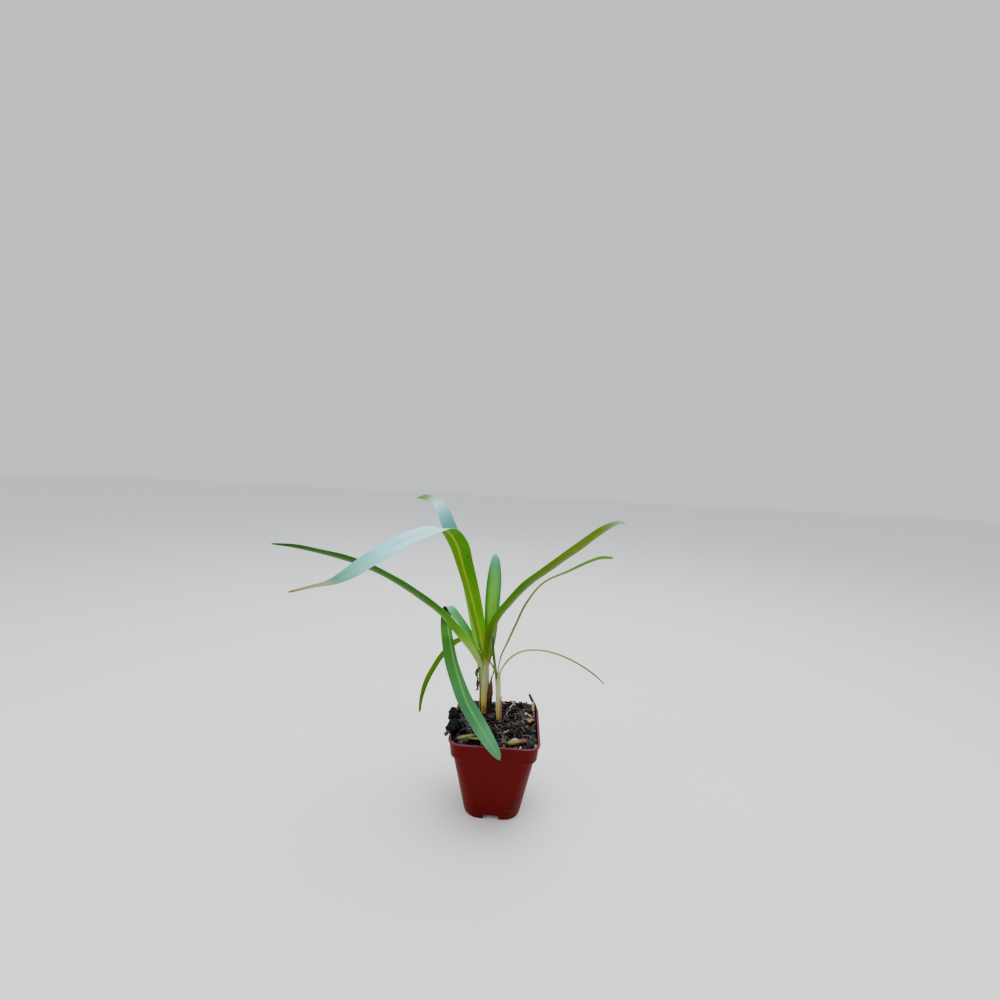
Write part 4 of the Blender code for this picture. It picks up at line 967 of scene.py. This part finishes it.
grow_leaf(
    "leaf_arching_left", MAIN_STEM, ring=1.4, azimuth=240, span=76, heading=250, mouth=113, seed=4,
    free=[(-14.5, 15.1, 119, 3.9, 46, 0), (-15.8, 14.2, 127, 4.9, 36, 0), (-19.0, 8.6, 145, 5.7, 24, 3),
          (-24.3, -3, 172.5, 6.5, 16, 6), (-29.6, -14, 196, 7.0, 12, 12), (-33.9, -24, 213.2, 7.5, 9, 14),
          (-41.6, -34.6, 224.5, 7.2, 6, 4), (-56.8, -46.5, 222.1, 6.8, 6, -14),
          (-72.4, -58, 214.8, 6.3, 8, -22), (-85.6, -70, 206.4, 5.6, 8, -22),
          (-95.8, -80, 199, 4.7, 8, -20), (-103.8, -88, 195.1, 3.1, 8, -14),
          (-111, -95.5, 194.3, 1.9, 6, -12), (-121.5, -105, 192.6, 0.9, 5, -12)],
    outer=[(0, SHEATH_PALE), (48, "A6AF78"), (60, "84A83C"), (80, "62A00C"), (100, "549406"),
           (122, "458402"), (151, "3D7C02"), (185, "3F7E04"), (297, "6A6A34")],
    # Inner face: the pale blue stops from 150 to 262 mm are painted sky reflection on the drooping part
    inner=[(0, SHEATH_PALE), (80, "7FB84A"), (150, "9CC6B4"), (186, "B8E4EA"), (206, "B0F0F6"),
           (235, "98E0EC"), (252, "78C4BC"), (262, "5CA490"), (270, "548C74"), (278, "808C6E"),
           (287, "85845E"), (297, "705C40")],
    midrib="98A818", midrib_strength=0.65, fleck=(-0.0269, -0.0177, 0.2023),
    flanks=[("587E04", -0.1, -0.6, 0.75, 165, 200)],
    rib_path=[(80, 0.0), (100, -0.08), (122, -0.16), (150, -0.2), (175, -0.13), (190, -0.1)])
grow_leaf(
    "leaf_back", MAIN_STEM, ring=0, azimuth=106, span=78, heading=100, mouth=114, seed=5,
    free=[(-15.8, 20.7, 117.5, 3.8, 50, 4), (-17.4, 21.3, 124, 5.4, 34, 2), (-21.0, 23.0, 138, 5.6, 24, -6),
          (-25.8, 25.4, 158, 5.8, 16, -12), (-35.0, 29.0, 189, 5.6, 12, -13),
          (-49.3, 34, 217.8, 6.0, 10, -13), (-54.1, 37, 227.4, 5.6, 10, -14),
          (-59.3, 41, 234.6, 4.8, 10, -16), (-67, 45, 239.8, 3.6, 10, -30),
          (-75.8, 48.5, 240.8, 2.7, 8, -50), (-81.7, 50.3, 239.5, 1.6, 6, -60)],
    outer=[(0, SHEATH_PALE), (70, "6FA830"), (190, "4E8228"), (218, "587A2C")],
    # Inner face: the blue-green stops from 140 to 203 mm are painted sky reflection, palest at 195 mm
    inner=[(0, SHEATH_PALE), (60, "8FC850"), (80, "83CC44"), (110, "6DB060"), (140, "5C9C88"),
           (172, "549C94"), (184, "78C2C2"), (195, "C0F2F6"), (203, "9CC4A8"), (208, "76965A"),
           (218, "627628")],
    midrib="6E9440", midrib_strength=0.25)
grow_leaf(
    "leaf_centre", MAIN_STEM, ring=1, azimuth=55, span=38, heading=90, mouth=97, seed=6,
    free=[(-9.5, 20.4, 107, 2.7, 44, -30), (-8.4, 21.0, 120, 3.7, 32, -14), (-8.7, 21.4, 137, 5.5, 24, 4),
          (-8.6, 23, 157, 6.4, 16, 6), (-8.2, 25.4, 173.5, 6.3, 14, 8), (-8.1, 28, 183.2, 5.4, 12, 8),
          (-8.2, 31.4, 191.4, 3.7, 10, 8), (-8.4, 34.5, 196.4, 1.3, 8, 8)],
    outer=[(0, SHEATH_PALE), (60, "6AAE24"), (145, "4F8A3A")],
    # Inner face: the bright stops from 45 to 92 mm are painted light that lifts the shade in the crevice
    # between the leaves, and the blue-green stops from 126 mm with the pale tip are painted sky reflection
    # and highlight
    inner=[(0, SHEATH_PALE), (45, "8CC840"), (70, "8ED048"), (92, "84C840"), (112, "6CB446"),
           (126, "5AA455"), (133, "50986A"), (140, "58A07A"), (143, "88C8BC"), (146, "A4D0CC")],
    # The bluish margin and the bluish right flank are painted sky reflection on the edges
    midrib="86C44C", midrib_strength=0.45, margin="7FAE9C", margin_strength=0.3,
    flanks=[("2F7414", 0.3, 0.95, 0.85, 122, 141), ("3E8456", -0.25, -0.95, 0.85, 132, 143)])
grow_leaf(
    "shoot_leaf_inner", SIDE_SHOOT, ring=0, azimuth=20, span=75, heading=0, mouth=91,
    slot="young_leaf_green", seed=7,
    free=[(-0.4, 8.8, 103, 1.25, 50, -10), (1.5, 7.9, 117, 1.37, 36, -30), (6.4, 6.6, 130, 1.48, 30, -40),
          (12.2, 5, 145.4, 1.48, 26, -40), (19, 3, 162.6, 1.48, 24, -40), (32.2, 0, 181.6, 1.48, 22, -40),
          (51.4, -3, 192.8, 1.6, 20, -46), (65.3, -6, 201.2, 1.82, 20, -52),
          (74.5, -8, 205.4, 1.71, 16, -56), (83.2, -10, 206.2, 0.91, 10, -60)],
    outer=[(0, "C2A850"), (20, "BEBE8A"), (45, "A8A868"), (70, "80803C"), (110, "5E6420"), (140, "6A8A3C"),
           (160, "608628"), (180, "5A9018"), (193, "4E8410")],
    inner=[(0, SHEATH_PALE), (60, "8A8A44"), (120, "6A7E2E"), (193, "5C9420")],
    midrib="7A8A3C", midrib_strength=0.2, **GRASSY)
grow_leaf(
    "shoot_leaf_right", SIDE_SHOOT, ring=1.15, azimuth=-52, span=112, heading=-20, mouth=90,
    slot="young_leaf_green", seed=8,
    free=[(1.6, 6.6, 104, 1.6, 50, -10), (8.4, 1.6, 117.6, 1.48, 34, -30), (16.6, -2, 125.2, 1.48, 26, -40),
          (27.4, -6, 129.1, 1.48, 24, -44), (39.6, -10, 129.8, 1.37, 22, -46),
          (54, -15, 127.2, 1.25, 20, -48), (66.2, -20, 122.7, 1.14, 20, -50),
          (74.5, -23, 117.9, 0.91, 16, -50), (79.4, -26, 114.4, 0.57, 10, -50)],
    outer=[(0, "B48C44"), (12, "D0BC6C"), (22, "D2D08A"), (33, "C8D6A0"), (45, "A4BC6C"), (62, "93B45E"),
           (85, "9CC07C"), (105, "7C9C48"), (130, "566E1C"), (147, "4C5E18")],
    inner=[(0, SHEATH_PALE), (60, "93B45E"), (147, "66802C")],
    midrib="A0AC60", midrib_strength=0.2, stain=("9A6A34", 13), **GRASSY)
grow_leaf(
    "shoot_leaf_left", SIDE_SHOOT, ring=1, azimuth=162, span=78, heading=120, mouth=90,
    slot="leaf_dark_green", seed=9,
    free=[(-3.0, 9.6, 103, 1.82, 46, 25), (-5.0, 9.2, 116, 1.6, 30, 16), (-6.0, 8.7, 125, 1.25, 24, 13),
          (-6.4, 8.4, 133, 0.57, 10, 12)],
    outer=[(0, "B48C44"), (12, "C8B864"), (30, "B8CC88"), (42, "88B054"), (53, "5C8428"), (64, "3A5A14"),
           (78, "2A4410")],
    inner=[(0, SHEATH_PALE), (40, "7CA84C"), (60, "40641A"), (80, "2E4A12")],
    midrib="5F8A2C", midrib_strength=0.2, **GRASSY)

PAPERY = dead_tissue("papery_dead_sheath", "2E1408", "8A5230", dark_below=(0.074, 0.086))
leaf_piece("dry_sheath_blade",
           sheath_stations(MAIN_STEM, 3, -12, 46, -12, 80)
           + [(-6.9, 17.2, 85, 2.6, 60, 10), (-6.3, 16.4, 91, 1.8, 60, 20), (-5.8, 15.2, 95.5, 0.6, 30, 60),
              (-4.5, 13.4, 100.5, 0.55, 10, 90), (-4.3, 12.4, 104, 0.6, 10, 110),
              (-6.4, 11.2, 108.5, 0.6, 10, 120), (-9.0, 10.2, 112.5, 0.5, 10, 140)],
           -12, PAPERY, "dry_sheath_brown", 24, 15, 31, 0.8, crumple=0.16)
leaf_piece("dry_sheath_flap_blade",
           [(-7.6, 17.4, 63, 1.6, 50, 0), (-6.6, 17.2, 70, 2.0, 60, 12), (-6.0, 17.0, 78, 2.4, 70, 20),
            (-5.6, 16.8, 84, 2.4, 80, 26), (-5.6, 16.4, 89, 1.9, 90, 36), (-6.0, 15.8, 93, 1.0, 60, 60),
            (-6.4, 15.4, 96, 0.4, 30, 80)],
           -90, PAPERY, "dry_sheath_brown", NO_SHEATH, 21, 35, 0.6, thick=0.4, ripple=0.3, crumple=0.3,
           stands_for=())
leaf_piece("shoot_scale_blade",
           sheath_stations(SIDE_SHOOT, 1.45, -20, 34, -20, 76)
           + [(3.0, 9.0, 80, 0.9, 40, 0), (3.3, 8.9, 83, 0.4, 20, 0)],
           -20, dead_tissue("papery_bud_scale", "8E5A3A", "CC9A70"), "dry_sheath_brown", 20, 11, 32, 0.8,
           ripple=0.05, crumple=0.05)
WITHERED = dead_tissue("withered_leaf_base", "141610", "56604E", 0.9)
leaf_piece("withered_base_blade",
           [(-16.4, 14.8, 102.5, 0.5, 20, 0), (-17.9, 14.6, 100, 1.5, 60, 40),
            (-19.0, 14.4, 97, 1.8, 80, 100), (-17.9, 14.6, 94, 1.0, 60, 160),
            (-17.5, 14.9, 90.5, 1.4, 70, 110), (-17.5, 14.7, 87, 0.7, 50, 60),
            (-16.8, 14.9, 83.5, 0.4, 20, 20)],
           180, WITHERED, "old_leaf_grey_green", NO_SHEATH, 13, 33, 0.4, thick=0.5, ripple=0.2, crumple=0.42)
SHREDS = [("withered_shred_upper", 36,
           [(-15.8, 14.4, 104, 0.4, 20, 0), (-17.8, 13.8, 102.4, 0.8, 60, 60),
            (-19.6, 13.6, 99, 1.0, 80, 150), (-18.4, 13.8, 96.6, 0.5, 50, 230)]),
          ("withered_shred_lower", 37,
           [(-16.2, 14.8, 95, 0.4, 20, 0), (-17.9, 14.2, 92, 0.7, 60, 90), (-16.8, 14.2, 88, 0.8, 80, 200),
            (-17.6, 14.2, 85, 0.5, 50, 260), (-18.9, 14.0, 83.6, 0.4, 30, 300)])]
for name, seed, stations in SHREDS:
    leaf_piece(name, stations, 180, WITHERED, "old_leaf_grey_green", NO_SHEATH, 11, seed, 0.4, thick=0.4,
               ripple=0.2, crumple=0.25, stands_for=())

GREEN_STUB = stub_tissue("cut_flower_stalk_green", [(0.0, "3A2A1C"), (0.1, "666A28"), (0.5, "848C3C"),
                                                    (0.8, "7E8C30"), (1.0, "4A4420")])
RUST_STUB = stub_tissue("cut_flower_stalk_rusting", [(0.0, "42601C"), (0.15, "708430"), (0.4, "7E6E30"),
                                                     (0.65, "84542E"), (0.85, "743822"), (1.0, "84503F")])
SMALL_STUB = stub_tissue("cut_flower_stalk_small", [(0.0, "3E4A18"), (0.3, "6E7A2A"), (0.5, "A0702E"),
                                                    (0.65, "8A8E3A"), (1.0, "6E7A34")])
TAN = dead_tissue("dry_bark_flake", "5E4226", "A87C4C")
PALE_SCRAP = dead_tissue("bleached_leaf_scrap", "8A9A5C", "C4CC9C")
BROWN_LUMP = compost("brown_bark_lump", [(0.0, "2E1E18"), (1.0, "7A5A4A")], 0.75)
# Coarse lumps: their bluish-grey patches are a painted reflection of sky on the wet bark
LUMP = compost("coarse_bark_lump", [(0.0, "040404"), (0.5, "0C090A"), (1.0, "2A201C")], 0.55, 0.14, "181A22")
LUMP_FLOOR = POT_HEIGHT - 0.9
CRUMB_FLOOR = POT_HEIGHT - 0.6
worn_bar("bark_lump", (-35.4, 3.2), 96, 14, 7.6, 6.2, LUMP, "bark_brown", 0.4, LUMP_FLOOR, 0.1, 41, 72, 54)
worn_bar("bark_lump_front", (-33.5, -13.2), 84, 15.5, 8.4, 6.0, LUMP, "bark_brown", -0.4, LUMP_FLOOR, 0.09,
         42, 72, 54)
worn_bar("bark_crumb", (-36.2, -21.6), 60, 6.2, 2.6, 3.0, BROWN_LUMP, "bark_brown", 0.2, CRUMB_FLOOR, 0.1,
         43)
worn_bar("cut_stub_left", (-21.6, -23.9), 17, 14.5, 3.0, 2.7, GREEN_STUB, "cut_stem_ochre", 0.7, seed=44)
worn_bar("cut_stub_small", (-15.4, -25.6), -3, 10.5, 1.8, 1.6, SMALL_STUB, "cut_stem_ochre", seed=45)
worn_bar("cut_stub_right", (16.9, -26.2), 15, 15.5, 3.4, 3.1, RUST_STUB, "cut_stem_ochre", 0.5, 63.2, seed=46)
leaf_piece("papery_flake_on_stub",
           [(12.2, -27.2, 66.3, 0.7, 40, 200), (14.0, -26.5, 67.3, 1.3, 50, 205),
            (16.0, -26.0, 67.6, 1.3, 60, 210), (18.2, -25.6, 67.0, 0.7, 40, 200)],
           15, dead_tissue("bleached_papery_flake", "8A7468", "D2BEB0"), "dry_fibre_tan", NO_SHEATH, 11, 38,
           0.4, thick=0.3, ripple=0.2, crumple=0.12, stands_for=())
worn_bar("leaf_scrap", (19.6, -30.4), 70, 4.2, 1.3, 0.9, PALE_SCRAP, "dry_fibre_tan", seed=47)
worn_bar("corner_scrap", (31.0, -28.0), 70, 3.6, 1.7, 1.2, GREEN_STUB, "cut_stem_ochre", 0.3, seed=48)
worn_bar("bark_flake", (27.6, 2.6), 60, 6, 3.2, 1.2, TAN, "dry_fibre_tan", rough=0.16, seed=49)
worn_bar("twig_stub", (30.0, 20.2), 88, 9.6, 2.1, 1.9, GREEN_STUB, "cut_stem_ochre", 2.0, seed=50)

TWIG = [(32.6, 26.9, 65.6), (31.0, 27.2, 69.4), (29.0, 27.3, 72.6), (26.6, 27.5, 77.4)]
twig_path = dense_curve(TWIG)[0][::6]
twig_points, twig_faces = tube_shape(twig_path, np.linspace(1.35, 1.15, len(twig_path)), 12)
twig_bark = dead_tissue("dry_twig_bark", "22120C", "5C3C2E")
mesh_piece("dry_twig", twig_points, twig_faces, twig_bark, "bark_brown", ["twig"])

# Crumbs of compost that stick to the pot's front, as (x, height, size) in mm
SPECKS = [(14.03, 9.85, 0.75), (16.94, 14.71, 0.5), (17.88, 18.91, 0.35), (20.52, 19.25, 0.35),
          (17.58, 10.83, 0.3), (13.77, 5.2, 0.4), (-10.04, 14.04, 0.3), (-8.81, 11.39, 0.25),
          (-7.61, 9.66, 0.2)]
speck_unit, speck_faces = chip_shape(3, 7)
shapes = []
for x, z, size in SPECKS:
    wall_y = -(FOOT_HALF + z * WALL_SLOPE)
    points = speck_unit * [1.5 * size, 0.6 * size, 1.5 * size] + [x, wall_y - 0.1 * size, z]
    shapes.append((points, speck_faces, np.full(len(points), SPECK_TINT)))
points, faces, tint = merge_shapes(shapes)
mesh_piece("compost_specks_on_pot", points, faces, BARK, "bark_compost", tint=tint)

root_nodes = compost("fleshy_rhizome", [(0.0, "9A8458"), (1.0, "C8B488")], 0.6)
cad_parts["rootstock"].material_slots[0].material = root_nodes
